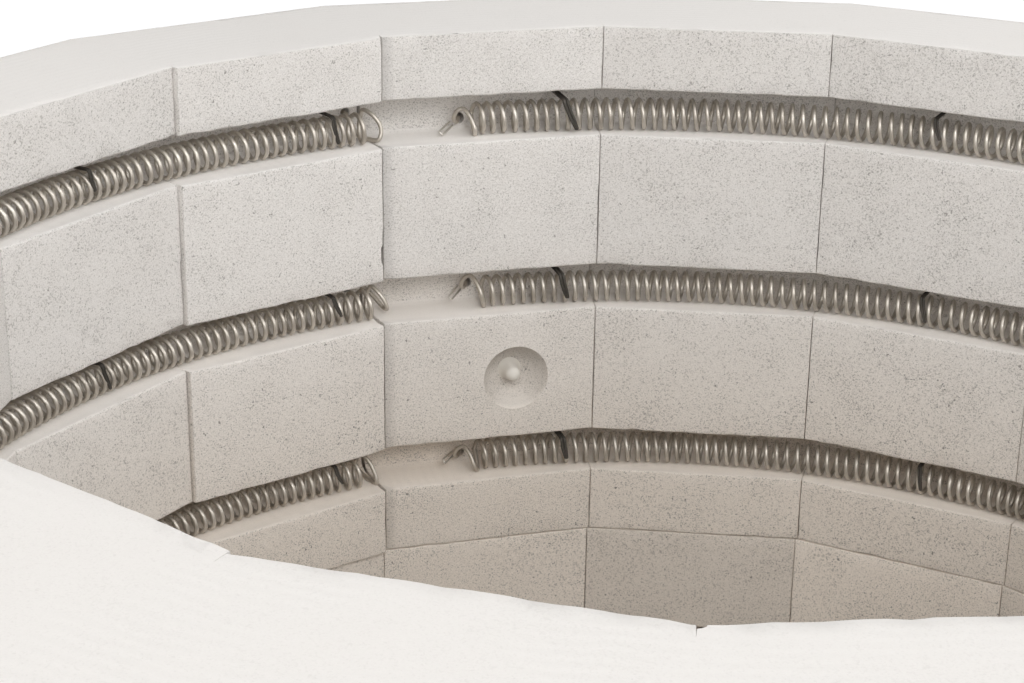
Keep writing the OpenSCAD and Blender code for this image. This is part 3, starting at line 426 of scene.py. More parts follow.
def welded(node):
    """The mesh of a CAD node with its double vertices merged, for editing."""
    bm = bmesh.new()
    bm.from_mesh(frame["nodes"][node].data)
    bmesh.ops.remove_doubles(bm, verts=bm.verts, dist=WELD)
    return bm


def dressed(node, material, bevel=0.0, loose=False, angle=25.0):
    """A copy of a CAD node's mesh with its sharp edges eased, which stands for the node."""
    bm = welded(node)
    bmesh.ops.dissolve_limit(bm, angle_limit=FLAT, verts=bm.verts, edges=bm.edges)
    if bevel:
        edges = [e for e in bm.edges if e.is_manifold and e.calc_face_angle(0.0) > SHARP]
        bmesh.ops.bevel(bm, geom=edges, offset=bevel, segments=2, profile=0.5, affect="EDGES",
                        clamp_overlap=True)
    bmesh.ops.triangulate(bm, faces=[f for f in bm.faces if len(f.verts) > 4])
    bmesh.ops.recalc_face_normals(bm, faces=bm.faces)
    mesh = bpy.data.meshes.new(node + "_finish")
    bm.to_mesh(mesh)
    bm.free()
    body = frame["nodes"][node]["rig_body"]
    return piece(node + "_finish", mesh, material, body, (node,), loose=loose, angle=angle)


def ring_quads(rings, count):
    """Faces between rings of count points that follow each other."""
    faces = []
    for j in range(rings - 1):
        for i in range(count):
            k = (i + 1) % count
            faces.append((j * count + i, j * count + k, (j + 1) * count + k, (j + 1) * count + i))
    return faces


def ring_faces(rings, count):
    """Faces between the rings, and over the first and the last one."""
    ends = [tuple(reversed(range(count))), tuple((rings - 1) * count + i for i in range(count))]
    return ring_quads(rings, count) + ends


def bar(size):
    """Vertices and faces of a block about the origin."""
    x, y, z = (s / 2 for s in size)
    verts = [Vector((sx * x, sy * y, sz * z)) for sx in (-1, 1) for sy in (-1, 1) for sz in (-1, 1)]
    faces = [(0, 1, 3, 2), (4, 6, 7, 5), (0, 4, 5, 1), (2, 3, 7, 6), (0, 2, 6, 4), (1, 5, 7, 3)]
    return verts, faces


def lathe(profile, sides=48):
    """Vertices and faces of a shape turned about Z; profile holds (radius, z) from end to end."""
    verts = []
    for r, z in profile:
        for i in range(sides):
            a = 2 * math.pi * i / sides
            verts.append(Vector((r * math.cos(a), r * math.sin(a), z)))
    return verts, ring_faces(len(profile), sides)


def moved(shape, matrix):
    verts, faces = shape
    return [matrix @ Vector(v) for v in verts], faces


def joined(shapes):
    verts, faces = [], []
    for more, polygons in shapes:
        start = len(verts)
        verts += more
        faces += [tuple(start + i for i in polygon) for polygon in polygons]
    return verts, faces


# Share of a wire's radius that its domed end keeps
DOME = 0.6


def tube(path, radius, sides=8):
    """A round wire along a path, with domed ends, on frames carried along the path."""
    points = np.array([tuple(p) for p in path])
    tangents = np.gradient(points, axis=0)
    tangents /= np.linalg.norm(tangents, axis=1)[:, None]
    side = np.cross(tangents[0], (0.0, 0.0, 1.0))
    if np.linalg.norm(side) < 0.1:
        side = np.cross(tangents[0], (1.0, 0.0, 0.0))
    turn = 2 * math.pi * np.arange(sides) / sides
    cos, sin = np.cos(turn)[:, None], np.sin(turn)[:, None]
    rings = []
    for point, tangent in zip(points, tangents):
        side = side - tangent * np.dot(side, tangent)
        side /= np.linalg.norm(side)
        rings.append(point + radius * (cos * side + sin * np.cross(tangent, side)))
    ends = ((rings[0], points[0], -tangents[0]), (rings[-1], points[-1], tangents[-1]))
    first, last = (point + (ring - point) * DOME + tangent * radius * DOME for ring, point, tangent in ends)
    rings = [first] + rings + [last]
    verts = [Vector(v) for v in np.concatenate(rings)]
    return verts, ring_faces(len(rings), sides)


def carved(mesh, cutters):
    """The mesh with shapes cut out of it."""
    obj = linked("raw", mesh)
    helpers = [linked("cutter", mesh_of("cutter", *shape)) for shape in cutters]
    for helper in helpers:
        cut = obj.modifiers.new("cut", "BOOLEAN")
        cut.operation = "DIFFERENCE"
        cut.solver = "MANIFOLD"
        cut.object = helper
    graph = bpy.context.evaluated_depsgraph_get()
    result = bpy.data.meshes.new_from_object(obj.evaluated_get(graph))
    for helper in (obj, *helpers):
        bpy.data.objects.remove(helper)
    return result


# Element ends in metres, with points as t, rise or n, t, rise from the groove's middle
# mouth: right tail's hole, first and last: ends of the winding, pin: hairpin's tip, loop: open last turn
MOUTH_R = 0.0023
MOUTH_DEEP = 0.012
ENDS = (
    {"node": "element_top", "mouth": (0.0087, -0.0054), "first": 0.0047, "last": -0.0445,
     "pin": (0.0195, -0.0088),
     "loop": ((0.2645, -0.0460, 0.0033), (0.2605, -0.0484, 0.0017), (0.2582, -0.0501, -0.0016),
              (0.2572, -0.0504, -0.0050), (0.2574, -0.0490, -0.0082), (0.262, -0.0475, -0.0087),
              (0.269, -0.0462, -0.0082), (0.2720, -0.0452, -0.0040))},
    {"node": "element_second", "mouth": (0.0051, -0.0025), "first": -0.0003, "last": -0.0465,
     "pin": (0.0152, -0.0052),
     "loop": ((0.264, -0.0488, 0.0030), (0.2592, -0.0517, -0.0015), (0.2585, -0.0533, -0.0062),
              (0.2625, -0.0538, -0.0070), (0.2670, -0.0520, -0.0030), (0.2715, -0.0485, 0.0012))},
    {"node": "element_third", "mouth": (0.0077, -0.0056), "first": 0.0020, "last": -0.0400,
     "pin": (0.0178, -0.0049),
     "loop": ((0.2645, -0.0420, 0.0030), (0.261, -0.0442, 0.0014), (0.258, -0.0454, -0.0030),
              (0.2566, -0.0460, -0.0083), (0.263, -0.0457, -0.0088), (0.2715, -0.0448, -0.0060))},
    {"node": "element_bottom", "mouth": (0.0080, -0.0040), "first": 0.0030, "last": -0.0430,
     "pin": (0.0180, -0.0060),
     "loop": ((0.264, -0.0450, 0.0032), (0.259, -0.0478, -0.0005), (0.2575, -0.0486, -0.0040),
              (0.2568, -0.0474, -0.0082), (0.263, -0.0465, -0.0088), (0.2715, -0.0450, -0.0060))},
)

# Wall bricks: length of the mesh's steps, radii of edges, ends and groove lips, and the open joints
GRAIN = 0.0045
EDGE_R = 0.0006
END_R = 0.00026
LIP_R = 0.0010
JOINT_GAP = 0.00016
JOINT_DEEP = 0.0005

# Wear of the bricks: depth, threshold and gain of the chips, and the roughness of all faces
WORN = 0.0006
CHIP_SCALE = 150.0
CHIP_FROM = 0.05
CHIP_GAIN = 2.2
OPEN_JOINT_WEAR = 2.0
ROUGH = 0.00012
ROUGH_SCALE = 260

# Depth of the rim's flat top, when a brick is made and when it is coloured
TOP_MADE = 0.00003
TOP_SKIN = 0.0003


def rounded(corners, steps=4):
    """Closed outline of (n, z, radius, wear) corners with each corner turned, and long runs divided."""
    turned = []
    count = len(corners)
    for i, (n, z, r, wear) in enumerate(corners):
        here = Vector((n, z))
        before = (Vector(corners[i - 1][:2]) - here).normalized()
        after = (Vector(corners[(i + 1) % count][:2]) - here).normalized()
        for s in range(steps + 1):
            f = s / steps
            spot = here + (1 - f) ** 2 * r * before + f * f * r * after
            turned.append((spot, wear * (1.0 - 0.6 * abs(2 * f - 1))))
    outline, wear = [], []
    for i, (spot, worn) in enumerate(turned):
        after = turned[(i + 1) % len(turned)][0]
        parts = max(1, int((after - spot).length / GRAIN))
        for s in range(parts):
            outline.append(spot + (after - spot) * s / parts)
            wear.append(worn if s == 0 else 0.0)
    return np.array([tuple(p) for p in outline]), np.array(wear)


def brick_mesh(name, k, z0, z1, grooves, proud, open_joint, seed):
    """A wall brick with routed grooves and worn edges. proud moves its chamber face inwards, and
    open_joint draws its clockwise end back."""
    face = FACE_N - proud
    corners = [(face, z0, EDGE_R, 1.0)]
    for zg in sorted(grooves):
        low, high = zg - GROOVE_H / 2, zg + GROOVE_H / 2
        corners += [(face, low, LIP_R, 1.0), (GROOVE_N, low, GROOVE_R, 0.0),
                    (GROOVE_N, high, GROOVE_R, 0.0), (face, high, LIP_R, 1.0)]
    corners += [(face, z1, EDGE_R, 1.0), (BRICK_N, z1, EDGE_R, 0.6), (BRICK_N, z0, EDGE_R, 0.6)]
    outline, wear = rounded(corners)
    run = np.roll(outline, -1, axis=0) - np.roll(outline, 1, axis=0)
    run /= np.linalg.norm(run, axis=1)[:, None]
    normal = np.stack([-run[:, 1], run[:, 0]], axis=1)
    closing = np.clip((JOINT_DEEP - (outline[:, 0] - face)) / JOINT_DEEP, 0.0, 1.0)
    half = outline[:, 0] * math.tan(HALF) - JOINT_GAP * closing / 2 / math.cos(HALF)
    ends = [(0.0, END_R, 1.0), (0.3 * END_R, 0.45 * END_R, 0.8), (END_R, 0.0, 0.5), (4 * END_R, 0.0, 0.1)]
    inner = max(4, int(2 * FACE_N * math.tan(HALF) / GRAIN))
    stations = [(-1.0, back, inset, edge) for back, inset, edge in ends]
    stations += [(2 * (i + 1) / (inner + 1) - 1, ends[-1][0], 0.0, 0.0) for i in range(inner)]
    stations += [(1.0, back, inset, edge) for back, inset, edge in reversed(ends)]
    verts = []
    lift = Vector((seed * 3.7, seed * 1.9, seed * 0.7))
    for share, back, inset, edge in stations:
        for (n, z), (dn, dz), w, worn in zip(outline, normal, half, wear):
            if z > RIM_Z - TOP_MADE and n > face + 2 * EDGE_R:
                verts.append(panel_point(k, n, share * n * math.tan(HALF), z))
                continue
            t = share * (w - back)
            if share < 0:
                t -= share * open_joint
            spot = Vector((n, t, z))
            rough = ROUGH * noise.noise(spot * ROUGH_SCALE + lift)
            chip = noise.noise(spot * CHIP_SCALE + lift) + 0.5 * noise.noise(spot * 3 * CHIP_SCALE + lift)
            wear_here = WORN * (OPEN_JOINT_WEAR if open_joint and share < -0.9 else 1.0)
            fall = max(worn, edge) * wear_here * max(0.0, chip - CHIP_FROM) * CHIP_GAIN
            depth = inset + fall - rough
            verts.append(panel_point(k, n - dn * depth, t, z - dz * depth))
    count, last = len(outline), len(stations) - 1
    caps = [tuple(range(count)), tuple(last * count + i for i in range(count))]
    return mesh_of(name, verts, ring_quads(len(stations), count) + caps)


def drilled(k, n0, n1, t, z, r, wider=0.0):
    """A round cutter through panel k from n0, where it can be wider, to n1."""
    shape = lathe([(r + wider, 0.0), (r, n1 - n0)], 40)
    return moved(shape, panel_frame(k, n0, t, z) @ OUTWARD)


def pebble(k, n, t, z, size, seed):
    """A rough lump that breaks a chip out of a brick's edge."""
    bm = bmesh.new()
    bmesh.ops.create_icosphere(bm, subdivisions=2, radius=1.0)
    lift = Vector((seed * 1.3, seed * 2.1, seed * 0.9))
    verts = []
    for v in bm.verts:
        swell = 1.0 + 0.35 * noise.noise(v.co * 1.6 + lift)
        verts.append(Vector((v.co.x * size[0], v.co.y * size[1], v.co.z * size[2])) * swell)
    faces = [tuple(v.index for v in f.verts) for f in bm.faces]
    bm.free()
    return moved((verts, faces), panel_frame(k, n, t, z))


# Size of the dark crack in the recess, its turn and its place on the panel
CRACK_SIZE = (0.008, 0.0004, 0.0034)
CRACK_TURN = math.radians(-40)
CRACK_AT = (FACE_N + 0.004, FLARE_T + 0.0052, FLARE_Z + 0.0105)

# How far a cutter runs past a face, and into the next cut
PAST = 0.002
OVERLAP = 0.001


def flare_profile():
    """Radius and depth of the dished recess and the sheath's hole behind it."""
    dish = [(1.07, -0.0020), (1.0, 0.0), (0.93, 0.0022), (0.80, 0.0056), (0.62, 0.0089), (0.44, 0.0110)]
    profile = [(FLARE_R * share, deep) for share, deep in dish]
    return profile + [(SHEATH_HOLE_R, FLARE_DEEP), (SHEATH_HOLE_R, BRICK_N - FACE_N + PAST)]


def brick_cuts(k, grooves):
    """Holes of the tails, the thermocouple and the peephole in one brick."""
    cuts = []
    rows = ENDS[:3] if len(grooves) > 1 else ENDS[3:]
    mouth, back = GROOVE_N + MOUTH_DEEP, BRICK_N + PAST
    for zg, row in zip(grooves, rows):
        if k == TC_PANEL:
            t, rise = row["mouth"]
            cuts.append(drilled(k, GROOVE_N - 2 * PAST, mouth, t, zg + rise, MOUTH_R))
            cuts.append(drilled(k, mouth - OVERLAP, back, TAIL_RIGHT_T, zg, TAIL_HOLE_R, PAST))
        if k == LEFT_PANEL:
            cuts.append(drilled(k, GROOVE_N - OVERLAP, mouth, TAIL_LEFT_T, zg, MOUTH_R))
            cuts.append(drilled(k, mouth - OVERLAP, back, TAIL_LEFT_T, zg, TAIL_HOLE_R))
    if k == TC_PANEL and len(grooves) > 1:
        cuts.append(moved(lathe(flare_profile(), 64), panel_frame(k, FACE_N, FLARE_T, FLARE_Z) @ OUTWARD))
        cuts.append(moved(bar(CRACK_SIZE), panel_frame(k, *CRACK_AT) @ Matrix.Rotation(CRACK_TURN, 4, "X")))
    if k == PEEP_PANEL and len(grooves) > 1:
        cuts.append(drilled(k, FACE_N - PAST, back, 0.0, PEEP_Z, PEEP_R))
    return cuts


# Tones of single bricks and of the rim by panel, tuned against the lamps as painted light and shade; painted
# light in the grooves, painted shade in the recess and a painted shadow on the stepped edge
LOWER_PAINTED_TONES = {"lower_brick_05": 1.02, "lower_brick_06": 0.90, "lower_brick_07": 1.08}
RIM_TOP_PAINTED_LIGHT = ((0.0, 0.98), (1.0, 1.05), (2.0, 1.05), (3.2, 0.98), (9.0, 0.98), (10.5, 0.93), (16.0, 0.93),
             (17.0, 0.98))
GROOVE_PAINTED_LIGHT = 1.13
FLARE_PAINTED_SHADE = 0.88
STEP_PAINTED_SHADOW = 0.8

# Painted warm bounce light: the bricks grow warmer, and their specks darker, from this depth below the rim,
# over this length
PAINTED_BOUNCE_FROM = 0.09
PAINTED_BOUNCE_OVER = 0.12

# How far single bricks stand proud and open at their joint, and the lower course's turn in panels
PROUD = {LEFT_PANEL: (0.0022, 0.0010), 15: (0.0018, 0.0)}
LOWER_TURN = 0.0095

# Chips broken out of upper bricks, by panel: n, t, z, size and seed
CHIPS = {
    13: (FACE_N, corner_t(FACE_N, -1), RIM_Z, (0.0022, 0.0022, 0.0018), 3),
    LEFT_PANEL: (FACE_N - PROUD[LEFT_PANEL][0], corner_t(FACE_N, -1), GROOVE_ZS[1] + 0.022,
                 (0.003, 0.003, 0.006), 7),
}


def brick_tone_and_light(k, upper, local, own):
    """Tone of each vertex: the grooves get painted light in their shade, the recess painted shade, and the
    edge beside the proud brick a painted shadow; the rim's top gets painted light and shade by panel.
    """
    n, t, z = local.T
    inside = (n > FACE_N + 0.003) & (n < GROOVE_N + 0.001) & (z < RIM_Z - 0.004)
    # Painted light: the grooves' inner faces are lighter where their shade falls
    tone = np.where(inside, GROOVE_PAINTED_LIGHT * own, own)
    if upper:
        top = z > RIM_Z - TOP_SKIN
        turn = (k - np.arctan2(t, n) / STEP) % PANELS
        # Painted light and shade on the rim's top by panel: darker round the near side, lighter on panels 1
        # and 2
        tone[top] = np.interp(turn[top], *zip(*RIM_TOP_PAINTED_LIGHT))
    if upper and k == TC_PANEL:
        reach = np.hypot(t - FLARE_T, z - FLARE_Z)
        # Painted shade over the whole dished recess
        tone[(reach < FLARE_R + 0.0005) & (n > FACE_N + 0.0006)] = FLARE_PAINTED_SHADE
        # Painted shadow that the proud brick's edge casts on the end of this brick beside it
        tone[(t > corner_t(FACE_N, 1) - 0.0012) & (n < FACE_N + 0.002) & ~top] *= STEP_PAINTED_SHADOW
    return tone


def brick_piece(name, k, z0, z1, grooves, nodes, seed):
    """One finished brick. Each brick reads its own part of the textures, and the rim's top a common one."""
    upper = len(grooves) > 1
    proud, open_joint = PROUD.get(k, (0.0, 0.0)) if upper else (0.0, 0.0)
    place_k = k if upper else k - LOWER_TURN
    mesh = brick_mesh(name, place_k, z0, z1, grooves, proud, open_joint, seed)
    cuts = brick_cuts(k, grooves)
    if upper and k in CHIPS:
        cuts.append(pebble(k, *CHIPS[k]))
    if cuts:
        mesh = carved(mesh, cuts)
    piece(name, mesh, FIREBRICK, "kiln", nodes, grain=False, angle=32.0)
    turn = np.array(Matrix.Rotation(-panel_angle(k), 4, "Z"))[:3, :3]
    local = coordinates(mesh) @ turn.T
    middle = [0.16 + draw.uniform(-0.1, 0.2), draw.uniform(-0.2, 0.2), draw.uniform(-3.0, 3.0)]
    place = local[:, [1, 2, 0]] - (0.0, RIM_Z, 0.0) + middle
    if upper:
        top = local[:, 2] > RIM_Z - TOP_SKIN
        place[top] = coordinates(mesh)[top]
    # Lower bricks 05 and 07 are painted lighter and 06 darker, as painted light and shade; the other bricks
    # keep a random tone
    own = LOWER_PAINTED_TONES.get(name, draw.uniform(0.97, 0.99))
    give_grain(mesh, "kiln", place=place, tint=brick_tone_and_light(k, upper, local, own))
    # Depth ramp of the painted warm bounce light
    depth = (RIM_Z - PAINTED_BOUNCE_FROM - coordinates(mesh)[:, 2]) / PAINTED_BOUNCE_OVER
    store(mesh, "warm", np.clip(depth, 0.0, 1.0))


def wall():
    for k in range(PANELS):
        node = f"wall_brick_{k + 1:02d}"
        brick_piece(node + "_finish", k, JOINT_Z, RIM_Z, GROOVE_ZS[:3], (node,), k + 1)
    for k in range(PANELS):
        name = f"lower_brick_{k + 1:02d}"
        brick_piece(name, k, COURSE_Z, COURSE_TOP, GROOVE_ZS[3:], ("lower_bricks",), k + 31)


# Heating elements: the turns, and where the tails end, enter and bend
TURN_PITCH = 0.0046
TURN_POINTS = 14
TAIL_OUT = FACE_N + 0.091
TAIL_NEAR = GROOVE_N + 0.006
TAIL_BEND = GROOVE_N + 0.02
CURVE_STEPS = 6

# The right tail from its hole to the first turn: n, t and rise from the hole, and last n and t from the turn
HOOK = ((TAIL_NEAR, 0.0, 0.0), (GROOVE_N, 0.0004, 0.0), (0.2700, 0.0024, -0.0003), (0.2672, 0.0042, 0.0016),
        (0.2655, 0.0034, 0.0052), (0.2642, 0.0008, 0.0066), (0.2610, -0.0013, 0.0040),
        (0.2582, -0.0027, -0.0005))
HOOK_END_N = RING_R - 0.0025
HOOK_END_T = 0.0009

# Unevenness of the turns: along the element, of their radius (a share) and of their lean
UNEVEN = 0.0011
UNEVEN_R = 0.018
UNEVEN_LEAN = 0.0006


def bend(a, b, c, count):
    """Points of a curve from a to c that leans on b."""
    return [(1 - s) ** 2 * a + 2 * s * (1 - s) * b + s * s * c for s in np.linspace(0.0, 1.0, count)]


def coil_middle(zg):
    return zg - GROOVE_H / 2 + COIL_OD / 2 + COIL_REST


def through(points, count):
    """A smooth curve through points, with count steps between each two."""
    line = []
    last = len(points) - 1
    for i in range(last):
        a, b, c, d = (points[min(max(i + j, 0), last)] for j in (-1, 0, 1, 2))
        for step in range(count):
            f = step / count
            line.append(0.5 * (2 * b + (c - a) * f + (2 * a - 5 * b + 4 * c - d) * f ** 2
                               + (3 * b - 3 * c + d - a) * f ** 3))
    return line + [points[last]]


def element_path(zg, seed, row):
    """Middle line of a tight coil round the chamber. One end hooks into its hole, the other opens into a
    wide last turn before it goes back into its hole."""
    zc = coil_middle(zg)
    out_r = RING_R + COIL_A
    start = panel_angle(TC_PANEL) + math.asin(row["first"] / out_r)
    stop = panel_angle(LEFT_PANEL) + math.asin(row["last"] / out_r) - 2 * math.pi
    sweep = start - stop
    turns = int(sweep * RING_R / TURN_PITCH)
    curl = []
    for i in range(turns * TURN_POINTS + 1):
        turn = i / TURN_POINTS
        phase = 2 * math.pi * turn
        wave = noise.noise(Vector((turn * 0.23, seed * 5.1, 0.0)))
        wide = noise.noise(Vector((turn * 0.61, seed * 3.3, 7.0)))
        radius = COIL_A * (1.0 + UNEVEN_R * wide)
        lean = UNEVEN_LEAN * noise.noise(Vector((turn * 0.35, seed * 2.7, 3.0)))
        angle = start - sweep * turn / turns + (UNEVEN * wave + lean * math.cos(phase)) / RING_R
        r = RING_R + radius * math.cos(phase)
        curl.append(Vector((r * math.cos(angle), r * math.sin(angle), zc + radius * math.sin(phase))))
    mouth_t, mouth_rise = row["mouth"]
    hook = [panel_point(TC_PANEL, n, TAIL_RIGHT_T, zg) for n in (TAIL_OUT, TAIL_BEND)]
    hook += [panel_point(TC_PANEL, n, mouth_t + t, zg + mouth_rise + rise) for n, t, rise in HOOK]
    hook += [panel_point(TC_PANEL, HOOK_END_N, row["first"] + HOOK_END_T, zc - COIL_A), curl[0]]
    loop = [curl[-1]] + [panel_point(LEFT_PANEL, n, t, zg + rise) for n, t, rise in row["loop"]]
    tail = (GROOVE_N, TAIL_NEAR, TAIL_BEND, TAIL_OUT)
    loop += [panel_point(LEFT_PANEL, n, TAIL_LEFT_T, zg) for n in tail]
    return through(hook, CURVE_STEPS)[:-1] + curl + through(loop, CURVE_STEPS)[1:]


def elements():
    for i, (row, zg) in enumerate(zip(ENDS, GROOVE_ZS)):
        name = row["node"] + "_coil"
        wire = tube(element_path(zg, i + 1, row), WIRE_D / 2)
        shaped(name, wire, WIRE, "kiln", (row["node"],), angle=80.0)


# Hairpins: wire radius, half width, the way they face, and where tips and roots (from the hole) stand
PIN_R = 0.00045
PIN_HALF = 0.00095
PIN_FACES = Vector((-0.94, 0.06, 0.34))
PIN_TIP_N = 0.262
PIN_LIFT = 0.0009
PIN_ROOT = (-0.0002, -0.0022)


def hairpins():
    """Bent wire pins that hold the elements' right ends in their holes."""
    shapes = []
    for row, zg in zip(ENDS, GROOVE_ZS):
        mouth_t, mouth_rise = row["mouth"]
        tip = panel_point(TC_PANEL, PIN_TIP_N, row["pin"][0], zg + row["pin"][1] + PIN_LIFT)
        root = panel_point(TC_PANEL, TAIL_NEAR, mouth_t + PIN_ROOT[0], zg + mouth_rise + PIN_ROOT[1])
        ahead = (tip - root).normalized()
        side = ahead.cross(PIN_FACES).normalized() * PIN_HALF
        turns = np.linspace(0.0, math.pi, 7)
        bow = [tip + math.cos(a) * side + math.sin(a) * PIN_HALF * ahead for a in turns]
        middle = (root + tip) / 2
        shapes.append(tube([root + side, middle + side, *bow, middle - side, root - side], PIN_R))
    shaped("element_hairpins", joined(shapes), BARE_WIRE, "kiln", angle=60.0)


# Staples: gap to the coil, depth in the brick, bend radius, run before it, and the wire's radius and sinking
STAPLE_GAP = 0.0006
STAPLE_DEEP = 0.015
STAPLE_BOW = 0.0016
STAPLE_RUN = 0.008
STAPLE_THIN = (0.0005, 0.0016)
STAPLE_THICK = (0.0007, 0.0)

# Where staples stand on their panels, and each one that the photo shows well
STAPLE_T = -0.005
STAPLE_TS = {TC_PANEL: -0.033, LEFT_PANEL: -0.025}
TC_STAPLES = ((-0.0317, -0.0367, 0.0125), (-0.0317, -0.0345, 0.0105), (-0.0340, -0.0358, 0.0095),
              (-0.0325, -0.0350, 0.0100))
RIGHT_STAPLES_PANEL = 6
RIGHT_STAPLES = (0.0025, 0.0015, -0.0040, -0.0050)


def staple_path(k, z, front, top, foot, leg, side):
    """Middle line of one of a staple's two wires: out of the brick, over the coil and down its front."""
    t, bow = top + 2 * side, STAPLE_BOW
    path = [panel_point(k, n, t, z) for n in (GROOVE_N + STAPLE_DEEP, GROOVE_N, front + bow + STAPLE_RUN)]
    path += bend(panel_point(k, front + bow, t, z), panel_point(k, front, t, z),
                 panel_point(k, front, t - 0.0003, z - bow), 6)
    for s, near in ((0.3, 1.0), (0.6, 1.0), (1.0, 0.4)):
        t = top + (foot - top) * s + 2 * side * near
        path.append(panel_point(k, front, t, z - bow - (leg - bow) * s))
    return path


def staples():
    """Doubled wires that lean across the coils and hold them in their grooves."""
    shapes = []
    for k in range(PANELS):
        if k % 2 and k != LEFT_PANEL:
            continue
        for i, zg in enumerate(GROOVE_ZS):
            top = STAPLE_TS.get(k, STAPLE_T) + draw.uniform(-0.001, 0.001)
            foot, leg = top - draw.uniform(0.0012, 0.0036), draw.uniform(0.0085, 0.0115)
            wire_r, sunk = STAPLE_THICK if k == TC_PANEL else STAPLE_THIN
            if k == TC_PANEL:
                top, foot, leg = TC_STAPLES[i]
            elif k == RIGHT_STAPLES_PANEL:
                foot += RIGHT_STAPLES[i] - top
                top = RIGHT_STAPLES[i]
            z = coil_middle(zg) + COIL_OD / 2 + STAPLE_GAP + wire_r
            front = math.sqrt(RING_R ** 2 - foot ** 2) - COIL_OD / 2 - STAPLE_GAP - wire_r + sunk
            for side in (-0.5 * wire_r, 0.5 * wire_r):
                shapes.append(tube(staple_path(k, z, front, top, foot, leg, side), wire_r, 10))
    shaped("element_staple_wires", joined(shapes), DARK_WIRE, "kiln", ("element_staples",), angle=60.0)


# Thermocouple sheath: radius, tip, end, and its collar as radius and depth
SHEATH_R = 0.0033
SHEATH_TIP = FACE_N + 0.0026
SHEATH_END = BRICK_N + 0.019
SHEATH_COLLAR = ((0.0036, 0.0052), (0.0041, 0.0072), (0.0050, 0.0086), (0.0066, 0.0096), (0.0066, 0.0115),
                 (SHEATH_R, 0.0117))


def sheath():
    """Ceramic tube of the thermocouple, with a blunt round end that shows in the recess."""
    turned = [(0.0002, 0.0)]
    for i in range(1, 10):
        a = math.pi / 2 * i / 9
        turned.append((SHEATH_R * math.sin(a) ** 0.9, 0.85 * SHEATH_R * (1 - math.cos(a))))
    turned += [*SHEATH_COLLAR, (SHEATH_R, SHEATH_END - SHEATH_TIP)]
    shape = moved(lathe(turned, 40), panel_frame(TC_PANEL, SHEATH_TIP, FLARE_T, FLARE_Z) @ OUTWARD)
    shaped("thermocouple_sheath", shape, CERAMIC, "kiln", ("thermocouple",))


# Screws

def cross_screw(head_r, head_h, shank_r, shank_l):
    """A pan head screw with a cross recess, its head's top at the origin and its shank along -Z."""
    profile = [(0.0001, 0.0)]
    for s in range(1, 9):
        a = math.pi / 2 * s / 8
        profile.append((head_r * math.sin(a), -0.62 * head_h * (1 - math.cos(a))))
    profile += [(head_r, -0.94 * head_h), (0.96 * head_r, -head_h), (shank_r, -head_h),
                (shank_r, -head_h - shank_l + 0.0004), (shank_r * 0.8, -head_h - shank_l)]
    arm = bar((1.15 * head_r, 0.2 * head_r, 1.3 * head_h))
    arms = [moved(arm, Matrix.Rotation(turn, 4, "Z")) for turn in (0.0, math.pi / 2)]
    mesh = carved(mesh_of("raw_screw", *lathe(profile, 32)), arms)
    verts = [v.co.copy() for v in mesh.vertices]
    return verts, [tuple(p.vertices) for p in mesh.polygons]


def screw_places(node):
    """Middle and direction of each screw head's top: the largest flat face of each loose part."""
    bm = welded(node)
    mesh = bpy.data.meshes.new("flat")
    bm.to_mesh(mesh)
    bm.free()
    parts = islands(mesh)
    flats = {}
    for p in mesh.polygons:
        offset = round(p.normal.dot(p.center), 5)
        key = (parts[p.vertices[0]], *(round(v, 2) + 0.0 for v in p.normal), offset)
        area, middle, normal = flats.get(key, (0.0, Vector(), p.normal.copy()))
        flats[key] = (area + p.area, middle + p.center * p.area, normal)
    places = []
    for part in sorted(set(parts)):
        area, middle, normal = max((v for k, v in flats.items() if k[0] == part), key=lambda v: v[0])
        own = [v.co for v, number in zip(mesh.vertices, parts) if number == part]
        depth = [(co - middle / area).dot(normal) for co in own]
        places.append((middle / area, normal, -min(depth)))
    bpy.data.meshes.remove(mesh)
    return places


def screws(node):
    head_r, head_h, shank_r = 0.0042, 0.0024, 0.002
    shapes = []
    made = {}
    for middle, normal, long in screw_places(node):
        key = round(long, 5)
        if key not in made:
            made[key] = cross_screw(head_r, head_h, shank_r, long - head_h)
        turn = normal.to_track_quat("Z", "Y").to_matrix().to_4x4()
        spin = Matrix.Rotation(draw.uniform(0, math.pi / 2), 4, "Z")
        shapes.append(moved(made[key], Matrix.Translation(middle) @ turn @ spin))
    body = frame["nodes"][node]["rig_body"]
    shaped(node + "_cross", joined(shapes), STEEL, body, (node,), angle=30.0)


# Marks on the control panel: half thickness, the keys' pointers and the digits' bars
MARK_T = 0.00015
POINTER = ((0.0, 0.0034), (-0.00306, -0.002108), (0.00306, -0.002108))
DIGIT_PITCH = 0.0150
DIGIT_W = 0.0042
DIGIT_H = 0.0078
STROKE = 0.0008
STROKE_GAP = 0.0003

# The line round display and keys: distances above and below, half width, corner and thickness
LINE_ABOVE = 0.025
LINE_BELOW = 0.018
LINE_HALF = 0.052
LINE_CORNER = 0.006
LINE_T = 0.0008

# The rocker: tilt, slope and height of its faces, the pivot's depth and the marks' place
ROCKER_TILT = math.radians(8)
ROCKER_FACE = math.atan2(1.5, 11.2)
ROCKER_H = 0.005
ROCKER_DEEP = 0.006
ROCKER_MARK = 0.0062


def prism(outline):
    """A thin plate of an outline in (y, z), which stands proud of the plane x = 0."""
    verts = [Vector((x, y, z)) for x in (-MARK_T, MARK_T) for y, z in outline]
    return verts, ring_faces(2, len(outline))


